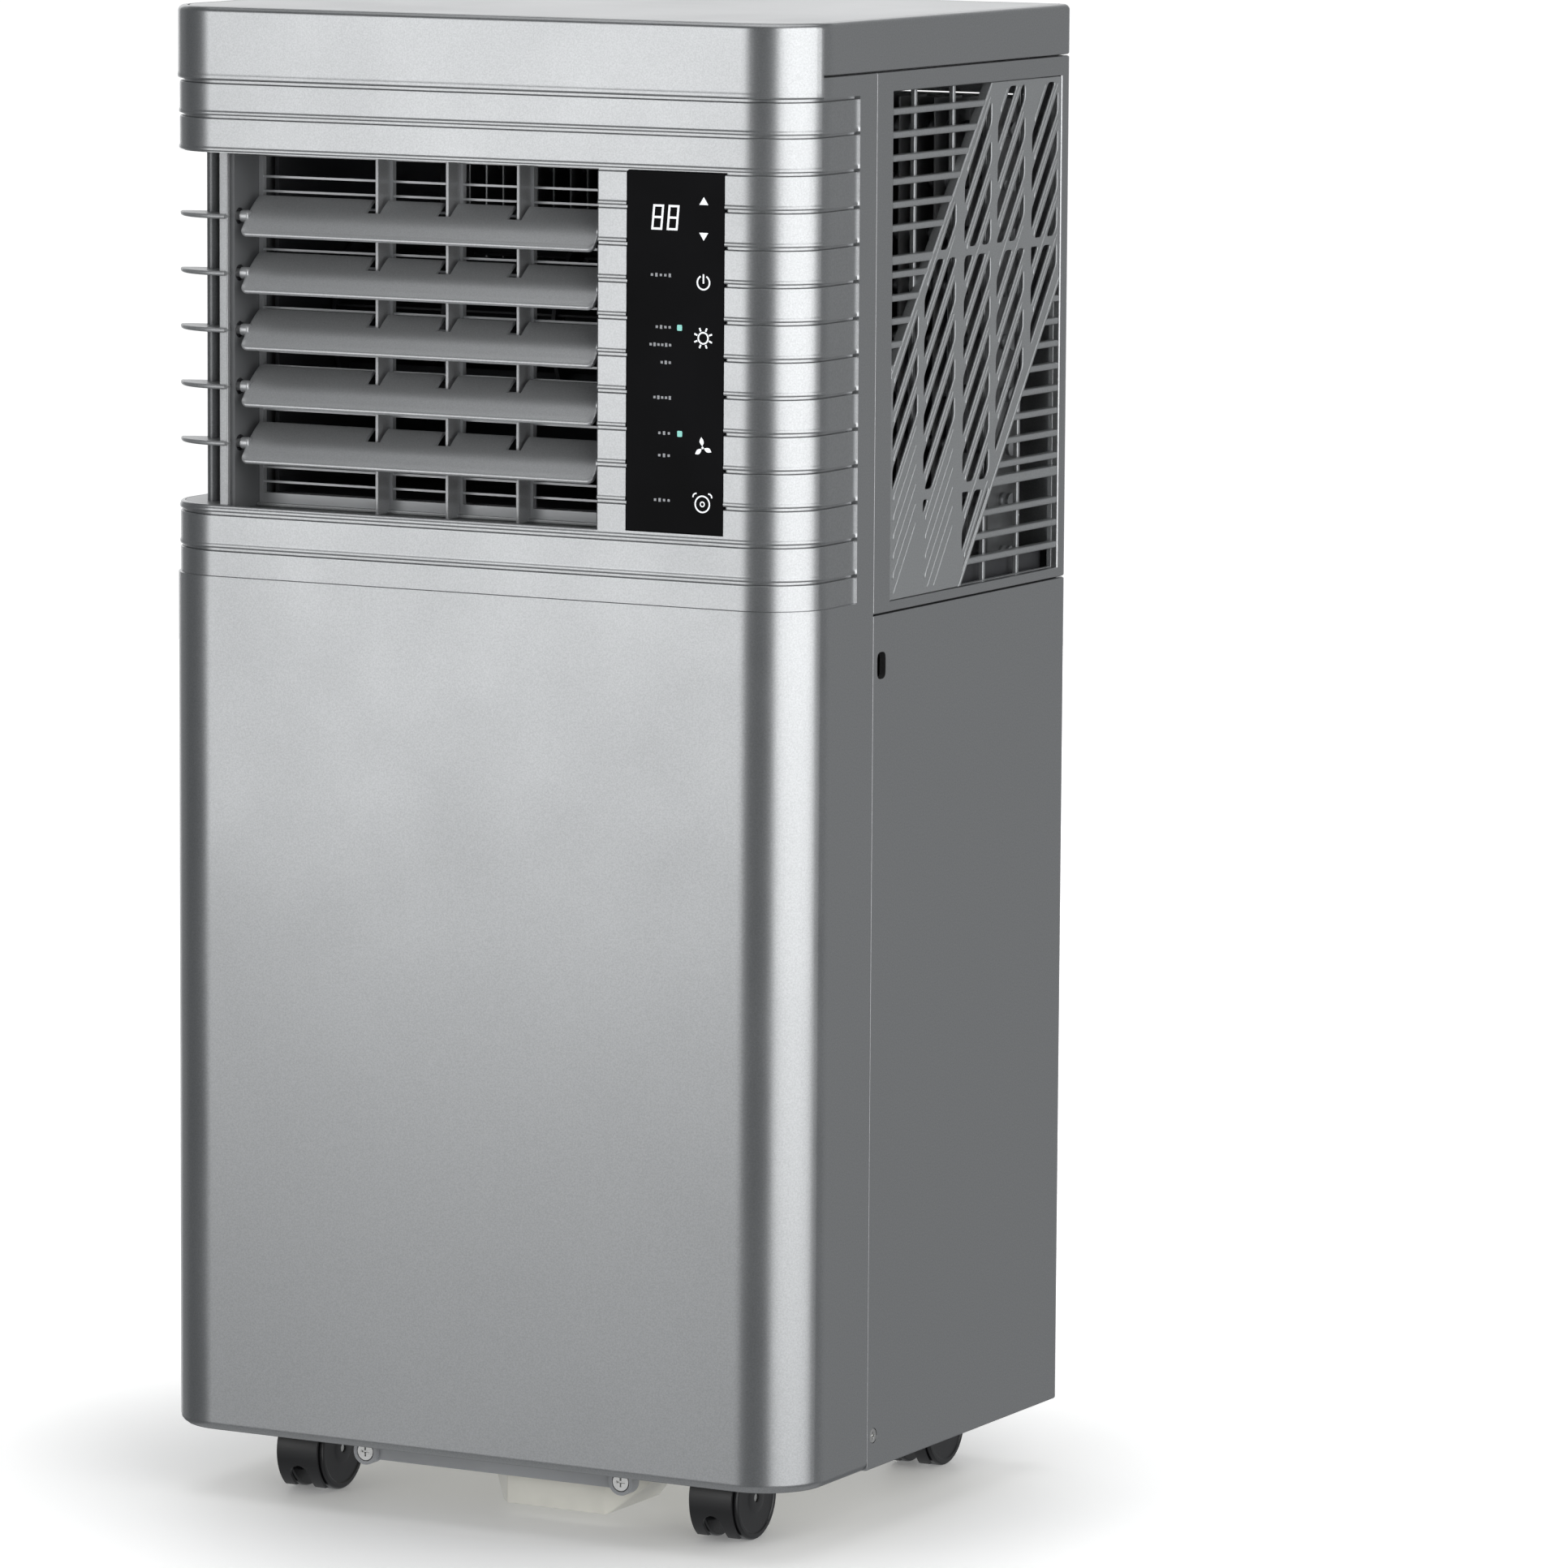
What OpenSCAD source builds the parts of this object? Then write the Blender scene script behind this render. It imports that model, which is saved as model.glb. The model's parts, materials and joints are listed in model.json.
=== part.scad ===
// Portable air conditioner on four twin-wheel casters.
// Millimetres, +Z up, front towards -Y. The origin is on the floor, under the middle of the casing.

/* [Casing] */
// Width of the casing, side to side
body_w = 328; // [326:1:332]
// Depth of the casing, front to back
body_d = 261; // [260:1:264]
// Height of the casing without its casters
shell_h = 642; // [640:1:646]
// Gap between the casing's lower edge and the floor
floor_gap = 32; // [31.5:0.1:32.5]
// Radius of the two front vertical corners
corner_r = 30; // [26:1:32]
// Radius of the two back vertical corners
back_corner_r = 6; // [5:0.5:8]
// Wall thickness of the plastic casing
wall = 3; // [2.8:0.1:3.2]
// Gap shown at each joint line between casing parts
seam_gap = 0.6; // [0.4:0.1:0.8]
// Depth of the grooved band round the front, below the surface around it
band_depth = 1; // [0.6:0.1:1.1]
// Distance between two grooves
groove_pitch = 16.07; // [16:0.01:16.1]

/* [Air outlet] */
// Height of the air outlet and of the touch panel
outlet_h = 157; // [156.8:0.1:157.2]
// Height of the air outlet's lower edge above the casing's lower edge
outlet_low = 420.5; // [420:0.5:421]
// X of the air outlet's right edge
outlet_right = 63; // [62:0.5:63]
// Number of louvres
louvre_count = 5; // [5:1:5]
// Distance between two louvre pivots
louvre_pitch = 25.3; // [25.2:0.1:25.5]
// Tilt of the louvres at rest, front edge down
louvre_tilt = 41; // [36:1:46]
// Distance between two upright struts
strut_pitch = 36; // [34:1:37]

/* [Touch panel] */
// Width of the touch panel
panel_w = 48.1; // [46:0.1:48.3]
// X of the touch panel's left edge
panel_left = 78; // [77.8:0.1:78.2]

/* [Side grille] */
// Depth of the side grille, along Y
grille_d = 164; // [162:1:165]
// Height of the side grille
grille_h = 223.5; // [220:0.5:224]
// Slope of the slanted slots, in degrees from level
slot_angle = 54.5; // [52:0.5:57]
// Height between two slanted slots in a column
slot_pitch = 17.2; // [17:0.1:17.4]
// Width of a slanted slot
slot_w = 4; // [3.2:0.1:4.4]

/* [Casters] */
// Radius of a caster wheel
wheel_r = 18.9; // [18.5:0.1:19]
// Sideways distance of a swivel pin from the middle
caster_x = 107; // [106:0.5:108]
// Distance of a swivel pin in front of or behind the middle
caster_y = 92; // [91:0.5:92.5]
// Distance of the axle behind the swivel pin
caster_trail = 11.5; // [10:0.5:12]

/* [Hoses and drains] */
// Inner radius of the hot air port, for a 127 mm hose
port_r = 65; // [64:0.5:66]
// Inner radius of the two drain spouts
drain_r = 5; // [4.5:0.1:5.5]

/* [Hidden] */
$fn = 64;

corners = ["fl", "fr", "rl", "rr"];
caster_nodes = [for (part = ["caster_hood", "caster_wheels", "caster_axle"], c = corners) str(part, "_", c)];
louvre_nodes = [for (i = [1 : louvre_count]) str("louvre_", i)];

big = 400;
silver = "#a9adb0";
dark = "#2b2d30";

// Heights of the casing
shell_z0 = floor_gap;
shell_z1 = floor_gap + shell_h;
half_w = body_w / 2;
half_d = body_d / 2;
inner_x = half_w - wall;
inner_y = half_d - wall;
first_groove_z = shell_z0 + 593.5;
groove_count = 13;
cover_front_z = first_groove_z + groove_pitch;
cover_side_z = shell_z0 + 619.4;
cover_step_y = -108.5;
band_z0 = first_groove_z - (groove_count - 1) * groove_pitch - 11.9;
band_end_y = -77;
front_seam_y = -61.4;
side_seam_z = shell_z0 + 381.7;

// Air outlet
outlet_z0 = shell_z0 + outlet_low;
outlet_z1 = outlet_z0 + outlet_h;
niche_back_y = -84;
duct_left_x = -127;
duct_back_y = -97;
louvre_y = -119.5;
top_louvre_z = shell_z0 + 549.2;
lip_reach = 10.4;
tail_reach = 13.6;
pin_r = 2;
pivot_clearance = 0.05;
post_x = -143;
post_y = -112;
shelf_x = -142;
shelf_y = -138;
shelf_r = 30;
strut_x = [for (i = [0 : 2]) -57.4 + i * strut_pitch];
strut_front_y = -114;
guard_y = -102;
crank_r = 8;
crank_tilt = -5.5;
crank_x = 66;
link_x = 68.4;
motor_y = -97;

// Side grille opening
grille_y0 = -45;
grille_z0 = shell_z0 + 386.5;

// Lower back
port_x = 78;
port_z = 320;
intake_x0 = -150;
intake_w = 140;
intake_z0 = 72;
intake_h = 250;
filter_x = 140;
filter_z0 = 442;
filter_h = 190;
drain_x = -128;
drain_low_z = 54;
drain_high_z = 426;
gland_x = -30;
gland_z = 56;
screw_z = shell_z0 + 15;
screw_y = -55;

function louvre_z(i) = top_louvre_z - (i - 1) * louvre_pitch;
function groove_z(k) = first_groove_z - k * groove_pitch;
function side_x(c) = (c == "fl" || c == "rl") ? -caster_x : caster_x;
function end_y(c) = (c == "fl" || c == "fr") ? -caster_y : caster_y;

// ---- Shared shapes ----

// Outline of the casing from above, drawn in by inset
module footprint(inset = 0) {
    w = half_w - inset;
    d = half_d - inset;
    fr = corner_r - inset;
    br = max(back_corner_r - inset, 0.8);
    translate([-w, -d + fr]) square([2 * w, 2 * d - fr - br]);
    translate([-w + fr, -d]) square([2 * (w - fr), fr + 1]);
    translate([-w + br, d - br - 1]) square([2 * (w - br), br + 1]);
    for (s = [-1, 1]) {
        translate([s * (w - fr), -d + fr]) circle(r = fr, $fn = 96);
        translate([s * (w - br), d - br]) circle(r = br, $fn = 48);
    }
}

module casing_ring(outer = 0, inner = wall) {
    difference() {
        footprint(outer);
        footprint(inner);
    }
}

// Box from two corners
module block(low, high) {
    translate(low) cube([for (i = [0 : 2]) high[i] - low[i]]);
}

// Cylinder along X or Y from its start point
module x_rod(start, r, length) {
    translate(start) rotate([0, 90, 0]) cylinder(r = r, h = length);
}

module y_rod(start, r, length) {
    translate(start) rotate([-90, 0, 0]) cylinder(r = r, h = length);
}

// Straight pipe between two points that differ along one axis, with round ends
module pipe(a, b, r) {
    d = b - a;
    translate(a) sphere(r = r, $fn = 32);
    translate(b) sphere(r = r, $fn = 32);
    if (d[0] != 0) x_rod([min(a[0], b[0]), a[1], a[2]], r, abs(d[0]));
    if (d[1] != 0) y_rod([a[0], min(a[1], b[1]), a[2]], r, abs(d[1]));
    if (d[2] != 0) translate([a[0], a[1], min(a[2], b[2])]) cylinder(r = r, h = abs(d[2]));
}

module pipe_run(points, r) {
    for (i = [1 : len(points) - 1]) pipe(points[i - 1], points[i], r);
}

// Cross recess of a screw head whose top is at the origin, facing +Z
module cross_recess(size = 3.6) {
    for (a = [0, 90]) rotate([0, 0, a]) translate([-size / 2, -0.4, -1]) cube([size, 0.8, 2]);
}

// Pan-head screw, its head's top at the origin and its shank along -Z
module screw(head_r, shank_r, length) {
    difference() {
        union() {
            translate([0, 0, -1.8]) cylinder(r = head_r, h = 1.8);
            translate([0, 0, -1.8 - length]) cylinder(r = shank_r, h = length + 0.5);
        }
        cross_recess(head_r * 1.1);
    }
}

// ---- Casing ----

// Recess for the grooved band and its grooves, cut from the outside of the front
module band_cut() {
    intersection() {
        translate([0, 0, band_z0]) linear_extrude(cover_front_z - band_z0 + 30) casing_ring(-2, band_depth);
        block([-big, -big, band_z0], [big, band_end_y, big * 2]);
    }
}

module groove_cuts() {
    intersection() {
        for (k = [0 : groove_count - 1])
            translate([0, 0, groove_z(k) - 0.6]) linear_extrude(1.2) casing_ring(-2, band_depth + 1);
        block([-big, -big, 0], [big, band_end_y, big * 2]);
    }
}

module front_shell() {
    color(silver) difference() {
        translate([0, 0, shell_z0]) linear_extrude(cover_side_z - seam_gap - shell_z0) difference() {
            casing_ring();
            translate([-big, front_seam_y]) square(2 * big);
        }
        block([-big, -big, cover_front_z - seam_gap], [big, cover_step_y, big * 2]);
        block([-big, -big, outlet_z0], [outlet_right, niche_back_y + 2, outlet_z1]);
        block([panel_left - 0.2, -big, outlet_z0], [panel_left + panel_w + 0.2, -inner_y + 2, outlet_z1]);
        intersection() {
            band_cut();
            block([-big, -big, 0], [big, big, cover_front_z]);
        }
        groove_cuts();
    }
}

module top_cover() {
    low_z = cover_front_z;
    color(silver) difference() {
        translate([0, 0, low_z]) linear_extrude(shell_z1 - low_z) footprint();
        translate([0, 0, low_z - 1]) linear_extrude(shell_z1 - low_z + 1 - wall) footprint(wall);
        block([-big, cover_step_y, low_z - 1], [big, big, cover_side_z]);
        translate([0, 0, shell_z1 - 0.9]) linear_extrude(2) casing_ring(3.4, 4.4);
    }
}

// U-shaped wall of the back half between two heights
module rear_wall(z0, z1) {
    translate([0, 0, z0]) linear_extrude(z1 - z0) difference() {
        casing_ring();
        translate([-big, -big]) square([2 * big, big + front_seam_y + seam_gap]);
    }
}

module rear_shell_upper() {
    color(silver) difference() {
        rear_wall(side_seam_z + seam_gap / 2, cover_side_z - seam_gap);
        block([-big, grille_y0, grille_z0], [big, grille_y0 + grille_d, grille_z0 + grille_h]);
        block([-filter_x, inner_y - 1, filter_z0 - 2], [filter_x, big, filter_z0 + filter_h + 0.6]);
        y_rod([drain_x, inner_y - 1, drain_high_z], drain_r + 3.5, wall + 2);
    }
}

// Arched notch of the side clip, with its slot
module clip_notch() {
    z0 = shell_z0 + 353;
    block([-big, -57, z0], [big, -49, z0 + 8]);
    x_rod([-big, -53, z0 + 8], 4, 2 * big);
}

module rear_shell_lower() {
    color(silver) difference() {
        rear_wall(shell_z0, side_seam_z - seam_gap / 2);
        clip_notch();
        y_rod([port_x, inner_y - 1, port_z], port_r + 6.2, wall + 2);
        block([intake_x0, inner_y - 1, intake_z0], [intake_x0 + intake_w, big, intake_z0 + intake_h]);
        y_rod([drain_x, inner_y - 1, drain_low_z], drain_r + 3.5, wall + 2);
        y_rod([gland_x, inner_y - 1, gland_z], 9, wall + 2);
        x_rod([-big, screw_y, screw_z], 1.8, 2 * big);
        for (s = [-1, 1]) x_rod([s * half_w - 2.1, screw_y, screw_z], 3.4, 4.2);
    }
}

// ---- Side grilles ----

level_pitch = 10.2;
slat_t = 2.6;
insert_t = 5;
skin_t = 2;
flange_t = 2.4;
flange_w = 4;
grille_y1 = grille_y0 + grille_d;
// Level bars that tie the slat fields and the slanted field together: lower edge and height
tie_bars = [[42, 4.5], [147.5, 4]];
// Columns of slanted slots: both ends along the grille, height of the lowest slot's middle, count
slot_columns = [[-45, -19, 67.5, 3], [-13, 16.5, 60.7, 6], [25, 50.5, 20.5, 11], [57, 83.5, 80.5, 9],
    [91, 118.5, 127, 6]];

// Slanted field, between the two slanted edges, drawn in by inset
module slanted_region(inset = 0) {
    e = inset / cos(52);
    polygon([[grille_y0, grille_z0], [24, grille_z0 + 1 + e], [grille_y1, grille_z0 + 130 + e],
        [grille_y1, grille_z0 + grille_h], [50, grille_z0 + grille_h - e], [grille_y0, grille_z0 + 100 - e]]);
}

module grille_opening(inset = 0) {
    translate([grille_y0 + inset, grille_z0 + inset]) square([grille_d - 2 * inset, grille_h - 2 * inset]);
}

// One slanted slot, drawn in a plane with Y across and Z up
module slanted_slot(y0, y1, z_mid) {
    half = ((y1 - y0) / cos(slot_angle) - slot_w) / 2 - 2;
    translate([(y0 + y1) / 2, z_mid]) rotate(slot_angle) {
        square([2 * half, slot_w], center = true);
        for (s = [-1, 1]) translate([s * half, 0]) circle(r = slot_w / 2, $fn = 24);
    }
}

module tie_bar_strips() {
    for (b = tie_bars) translate([grille_y0, grille_z0 + b[0]]) square([grille_d, b[1]]);
}

module slanted_slots() {
    intersection() {
        difference() {
            for (c = slot_columns, k = [0 : c[3] - 1])
                slanted_slot(c[0], c[1], grille_z0 + c[2] + k * slot_pitch);
            tie_bar_strips();
        }
        slanted_region(2.5);
        grille_opening(1.5);
    }
}

// Level slats and tie bars, outside the slanted field
module level_slats() {
    difference() {
        intersection() {
            union() {
                for (k = [0 : floor((grille_h - 12) / level_pitch)])
                    translate([grille_y0, grille_z0 + 10.5 + k * level_pitch - slat_t / 2])
                        square([grille_d, slat_t]);
                tie_bar_strips();
            }
            grille_opening(0.2);
        }
        slanted_region();
    }
}

module slanted_rim() {
    difference() {
        intersection() {
            slanted_region();
            grille_opening(0.2);
        }
        slanted_region(1.6);
    }
}

// Grille insert with its flange behind the casing wall, drawn with X as its thickness
module side_grille() {
    rotate([90, 0, 90]) {
        linear_extrude(flange_t) difference() {
            translate([grille_y0 - flange_w, grille_z0 - flange_w])
                square([grille_d + 2 * flange_w, grille_h + 2 * flange_w]);
            grille_opening();
        }
        linear_extrude(flange_t) for (y = [-16, 20.8, 53.8, 87.2])
            translate([y - 1.2, grille_z0 - 1]) square([2.4, grille_h + 2]);
        linear_extrude(flange_t) difference() {
            grille_opening(-0.5);
            grille_opening(0.3);
        }
        linear_extrude(insert_t) level_slats();
        linear_extrude(insert_t) slanted_rim();
        translate([0, 0, insert_t - skin_t]) linear_extrude(skin_t) difference() {
            intersection() {
                slanted_region();
                grille_opening(0.2);
            }
            slanted_slots();
        }
        linear_extrude(insert_t) difference() {
            grille_opening(0.2);
            grille_opening(1);
            level_zone();
        }
    }
}

// Part of the opening's edge that the level slats reach
module level_zone() {
    difference() {
        grille_opening(-1);
        slanted_region(-1);
    }
}

module side_grille_right() {
    color(silver) translate([inner_x - flange_t, 0, 0]) side_grille();
}

module side_grille_left() {
    color(silver) mirror([1, 0, 0]) translate([inner_x - flange_t, 0, 0]) side_grille();
}

// ---- Back ----

module intake_grille() {
    slat_pitch = 9;
    slats = floor((intake_h - 12) / slat_pitch);
    color(silver) difference() {
        block([intake_x0 + 0.2, inner_y + 0.2, intake_z0 + 0.2],
            [intake_x0 + intake_w - 0.2, half_d - 0.3, intake_z0 + intake_h - 0.2]);
        for (k = [0 : slats - 1], half = [0, 1])
            block([intake_x0 + 7 + half * (intake_w / 2 - 2), inner_y - 1, intake_z0 + 9 + k * slat_pitch],
                [intake_x0 + intake_w / 2 - 5 + half * (intake_w / 2 - 2), half_d + 1,
                 intake_z0 + 14 + k * slat_pitch]);
    }
}

// Removable cover over the evaporator's filter, hinged along its lower edge
module filter_cover() {
    slat_pitch = 9;
    bay_w = (2 * filter_x - 20) / 4;
    color(silver) difference() {
        union() {
            block([-filter_x + 0.4, inner_y + 0.2, filter_z0], [filter_x - 0.4, half_d, filter_z0 + filter_h]);
            x_rod([-filter_x + 0.4, half_d - 1.4, filter_z0], 1.4, 2 * filter_x - 0.8);
        }
        for (k = [0 : 17], b = [0 : 3])
            block([-filter_x + 9 + b * (bay_w + 1), 0, filter_z0 + 16 + k * slat_pitch],
                [-filter_x + 8 + bay_w + b * (bay_w + 1), big, filter_z0 + 21 + k * slat_pitch]);
        block([-18, half_d - 1.2, filter_z0 + filter_h - 9], [18, big, filter_z0 + filter_h - 4]);
    }
}

module filter_screen() {
    y0 = inner_y - 4.5;
    low = filter_z0 + 6;
    high = filter_z0 + filter_h - 6;
    color(dark) {
        difference() {
            block([-filter_x + 6, y0, low], [filter_x - 6, inner_y + 0.2, high]);
            for (b = [0 : 3])
                block([-filter_x + 10 + b * 66, y0 - 1, low + 4], [-filter_x + 72 + b * 66, inner_y + 1, high - 4]);
        }
        block([-filter_x + 8, y0 + 1.5, low + 2], [filter_x - 8, y0 + 2.2, high - 2]);
    }
}

// Ring that the hot air hose twists into
module exhaust_collar() {
    color(dark) difference() {
        union() {
            y_rod([port_x, inner_y - 30, port_z], port_r + 3, 30);
            y_rod([port_x, inner_y - 3, port_z], port_r + 6, 3 + wall - 0.3);
        }
        y_rod([port_x, 0, port_z], port_r, body_d);
        for (a = [45 : 90 : 315])
            translate([port_x, 0, port_z]) rotate([0, a, 0])
                block([port_r - 1, inner_y - 8, -5], [port_r + 1.8, inner_y - 4, 5]);
    }
}

module drain_plug(z) {
    plug_y = inner_y - 1.4;
    color("#3a3c3f") translate([drain_x, 0, z]) {
        y_rod([0, plug_y - 12, 0], drain_r - 0.05, 12.5);
        y_rod([0, plug_y, 0], drain_r + 2.5, 2);
        block([-1, plug_y + 1.5, -drain_r], [1, half_d - 0.4, drain_r]);
    }
}

module drain_plug_upper() {
    drain_plug(drain_high_z);
}

module drain_plug_lower() {
    drain_plug(drain_low_z);
}

module cord_gland() {
    color(dark) difference() {
        union() {
            y_rod([gland_x, inner_y - 12, gland_z], 7.5, 12);
            y_rod([gland_x, inner_y, gland_z], 8.8, wall - 0.2);
        }
        y_rod([gland_x, inner_y - 9, gland_z], 3.6, 20);
    }
}

// ---- Base ----

pan_z = 42;
pan_rim_z = 60;
sump_z0 = 6;

// Outline of the sump from above and from the front
module sump_plan(inset = 0) {
    polygon([[-24 + inset, -58], [-24 + inset, -68], [-1, -94 + inset], [49, -94 + inset],
        [66 - inset, -78], [66 - inset, -58], [40, -36 - inset], [4, -36 - inset]]);
}

module sump_front(inset = 0) {
    polygon([[-30 + inset, pan_z + 6], [-30 + inset, 27], [-6, sump_z0 + inset], [50, sump_z0 + inset],
        [70 - inset, 24], [70 - inset, pan_z + 6]]);
}

module sump_solid(inset = 0) {
    intersection() {
        translate([0, 0, sump_z0]) linear_extrude(pan_z + 6 - sump_z0) sump_plan(inset);
        rotate([90, 0, 0]) translate([0, 0, 30]) linear_extrude(70) sump_front(inset);
    }
}

// Tray under everything, with its caster bosses, screw bosses and drain spout
module base_pan() {
    fit = wall + 0.5;
    color("#e9e6d6") difference() {
        union() {
            translate([0, 0, pan_z]) linear_extrude(3) footprint(fit);
            translate([0, 0, pan_z]) linear_extrude(pan_rim_z - pan_z) casing_ring(fit, fit + 2.5);
            for (c = corners) translate([side_x(c), end_y(c), pan_z]) cylinder(r = 11, h = 18);
            y_rod([drain_x, 108, drain_low_z], drain_r + 3, inner_y - 1.6 - 108);
            for (s = [-1, 1]) x_rod([s * 156 - 5, screw_y, screw_z], 4, 10);
        }
        sump_solid(2.5);
        for (c = corners) translate([side_x(c), end_y(c), 0]) cylinder(r = 7, h = big);
        y_rod([drain_x, 90, drain_low_z], drain_r, big);
        y_rod([drain_x, inner_y - 1.6, drain_low_z], drain_r + 3, big);
        x_rod([-big, screw_y, screw_z], 1.5, 2 * big);
        y_rod([gland_x, 100, gland_z], 9, big);
    }
}

// Bowl under the tray that gathers the water
module sump() {
    color("#e9e6d6") difference() {
        intersection() {
            sump_solid();
            block([-big, -big, 0], [big, big, pan_z]);
        }
        sump_solid(2.5);
    }
}

module caster_sockets() {
    color("#8c8f92") for (c = corners) translate([side_x(c), end_y(c), pan_z]) difference() {
        cylinder(r = 7, h = 18);
        translate([0, 0, -1]) cylinder(r = 4.05, h = 20);
    }
}

rail_screw_x = 66;
rail_screw_z = 25.5;

module front_rail() {
    color("#9a9da0") difference() {
        union() {
            block([-71, -107, 22], [71, -103, pan_z - 0.1]);
            for (s = [-1, 1]) y_rod([s * rail_screw_x, -109.5, rail_screw_z], 6, 6.5);
        }
        for (s = [-1, 1]) {
            y_rod([s * rail_screw_x, -big, rail_screw_z], 1.8, 2 * big);
            y_rod([s * rail_screw_x, -120, rail_screw_z], 4.4, 12.6);
        }
    }
}

module rail_screws() {
    color("silver") for (s = [-1, 1])
        translate([s * rail_screw_x, -109.4, rail_screw_z]) rotate([90, 0, 0]) screw(4, 1.8, 8);
}

module case_screws() {
    color("silver") for (s = [-1, 1])
        translate([s * (half_w - 0.2), screw_y, screw_z]) rotate([0, s * 90, 0]) screw(3.2, 1.5, 9);
}

// ---- Casters ----

shroud_r = 21;
shroud_in_r = 19.6;
hood_half_w = 10.6;

// Hood of one caster, its swivel pin along Z at the origin
module hood() {
    arch_r = 5;
    color(dark) difference() {
        union() {
            x_rod([-hood_half_w, caster_trail, wheel_r], shroud_r, 2 * hood_half_w);
            translate([0, 0, wheel_r]) cylinder(r = 6, h = pan_z - 0.4 - wheel_r);
        }
        for (s = [-1, 1]) x_rod([s > 0 ? 3.4 : -20, caster_trail, wheel_r], shroud_in_r, 16.6);
        block([-20, caster_trail + 4, -20], [20, 60, wheel_r - 4]);
        block([-20, -20, -10], [20, 60, 2.4]);
        block([-arch_r, -20, -10], [arch_r, caster_trail - 7, 8]);
        y_rod([0, -20, 8], arch_r, caster_trail + 13);
        block([-20, caster_trail - 7, -10], [20, caster_trail + 10, 8]);
        x_rod([-30, caster_trail, wheel_r], pin_r + pivot_clearance, 60);
    }
    color(dark) translate([0, 0, pan_z - 1]) cylinder(r = 4, h = 17);
}

module wheel_pair() {
    color("#1d1e20") for (s = [-1, 1]) difference() {
        union() {
            x_rod([s > 0 ? 4.6 : -12.4, caster_trail, wheel_r], wheel_r, 7.8);
            x_rod([s > 0 ? 3.8 : -5, caster_trail, wheel_r], 5, 1.2);
        }
        x_rod([-30, caster_trail, wheel_r], pin_r, 60);
    }
}

module wheel_axle() {
    color("silver") x_rod([-11.6, caster_trail, wheel_r], pin_r, 23.2);
}

module at_corner(c) {
    translate([side_x(c), end_y(c), 0]) children();
}

// ---- Air outlet ----

// Side walls, ceiling, floor and corner wall of the recess
module outlet_frame() {
    y0 = -inner_y + 0.2;
    right = outlet_right + 0.2;
    color("#55585b") difference() {
        union() {
            block([duct_left_x, -124, outlet_z0], [duct_left_x + 2, niche_back_y, outlet_z1]);
            block([right, y0, outlet_z0], [right + 2, duct_back_y, outlet_z1]);
            block([duct_left_x, y0, outlet_z1], [right + 2, duct_back_y, outlet_z1 + 2]);
            block([duct_left_x, y0, outlet_z0 - 4], [right + 2, duct_back_y, outlet_z0 - 2]);
            block([right, y0, outlet_z0 - 4], [right + 2, duct_back_y, outlet_z0]);
            block([duct_left_x, -124, outlet_z0 - 4], [duct_left_x + 2, duct_back_y, outlet_z0]);
            block([-inner_x + 0.2, niche_back_y, outlet_z0 - 4], [duct_left_x + 2, niche_back_y + 2, outlet_z1 + 2]);
        }
        for (i = [1 : louvre_count]) x_rod([-big, louvre_y, louvre_z(i)], pin_r + pivot_clearance, 2 * big);
    }
}

// Closing plate of the open corner, above or below it
module corner_plate(z) {
    translate([0, 0, z]) linear_extrude(2) intersection() {
        footprint(wall + 0.2);
        translate([-half_w, -half_d]) square([half_w + duct_left_x - 0.2, half_d + niche_back_y - 0.2]);
    }
}

// Lens-shaped shelf that follows the corner
module corner_shelf(z) {
    translate([0, 0, z]) linear_extrude(2) intersection() {
        footprint(band_depth + 0.3);
        translate([shelf_x, shelf_y]) circle(r = shelf_r, $fn = 96);
        translate([-half_w, -half_d]) square([half_w + duct_left_x - 0.2, half_d]);
    }
}

// Shelves round the open corner, with their two posts
module corner_fins() {
    color(silver) {
        corner_plate(outlet_z0 - 2);
        corner_plate(outlet_z1);
        for (i = [1 : louvre_count]) corner_shelf(louvre_z(i) - 1);
        block([duct_left_x - 4.5, -126.5, outlet_z0 - 1], [duct_left_x - 0.2, -124, outlet_z1 + 1]);
        translate([post_x, post_y, outlet_z0 - 1]) cylinder(r = 3.2, h = outlet_h + 2);
    }
}

// Blade outline across its length: front lip at -Y, tail at +Y, pivot at the origin
module blade_profile() {
    thick = 1.8;
    translate([-lip_reach + 1.1, -thick / 2]) square([lip_reach + tail_reach - 2, thick]);
    translate([-lip_reach + 1.1, 0]) circle(r = 1.1, $fn = 32);
    translate([tail_reach - 0.9, 0]) circle(r = 0.9, $fn = 32);
}

// One louvre at rest tilt, with its pivots and the crank at its right end
module louvre(i) {
    left = duct_left_x + 6;
    right = outlet_right - 3.5;
    color("#8f9396") translate([0, louvre_y, louvre_z(i)]) {
        rotate([louvre_tilt, 0, 0]) {
            difference() {
                translate([left, 0, 0]) rotate([90, 0, 90]) linear_extrude(right - left) blade_profile();
                for (x = strut_x) block([x - 4, 4, -5], [x + 3.5, 30, 5]);
            }
            x_rod([left - 3.4, 0, 0], 3, 5);
            x_rod([right - 1, 0, 0], 3, 3);
        }
        x_rod([duct_left_x + 0.3, 0, 0], pin_r, 10);
        x_rod([right, 0, 0], pin_r, crank_x + 2 - right);
        rotate([crank_tilt, 0, 0]) {
            x_rod([crank_x, 0, 0], 4, 2);
            x_rod([crank_x, crank_r, 0], 3, 2);
            block([crank_x, 0, -3], [crank_x + 2, crank_r, 3]);
            x_rod([crank_x, crank_r, 0], 1.5, 6);
        }
    }
}

// Place of a crank pin from its shaft, at rest
crank_dy = crank_r * cos(crank_tilt);
crank_dz = crank_r * sin(crank_tilt);
mid_louvre = 3;

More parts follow.
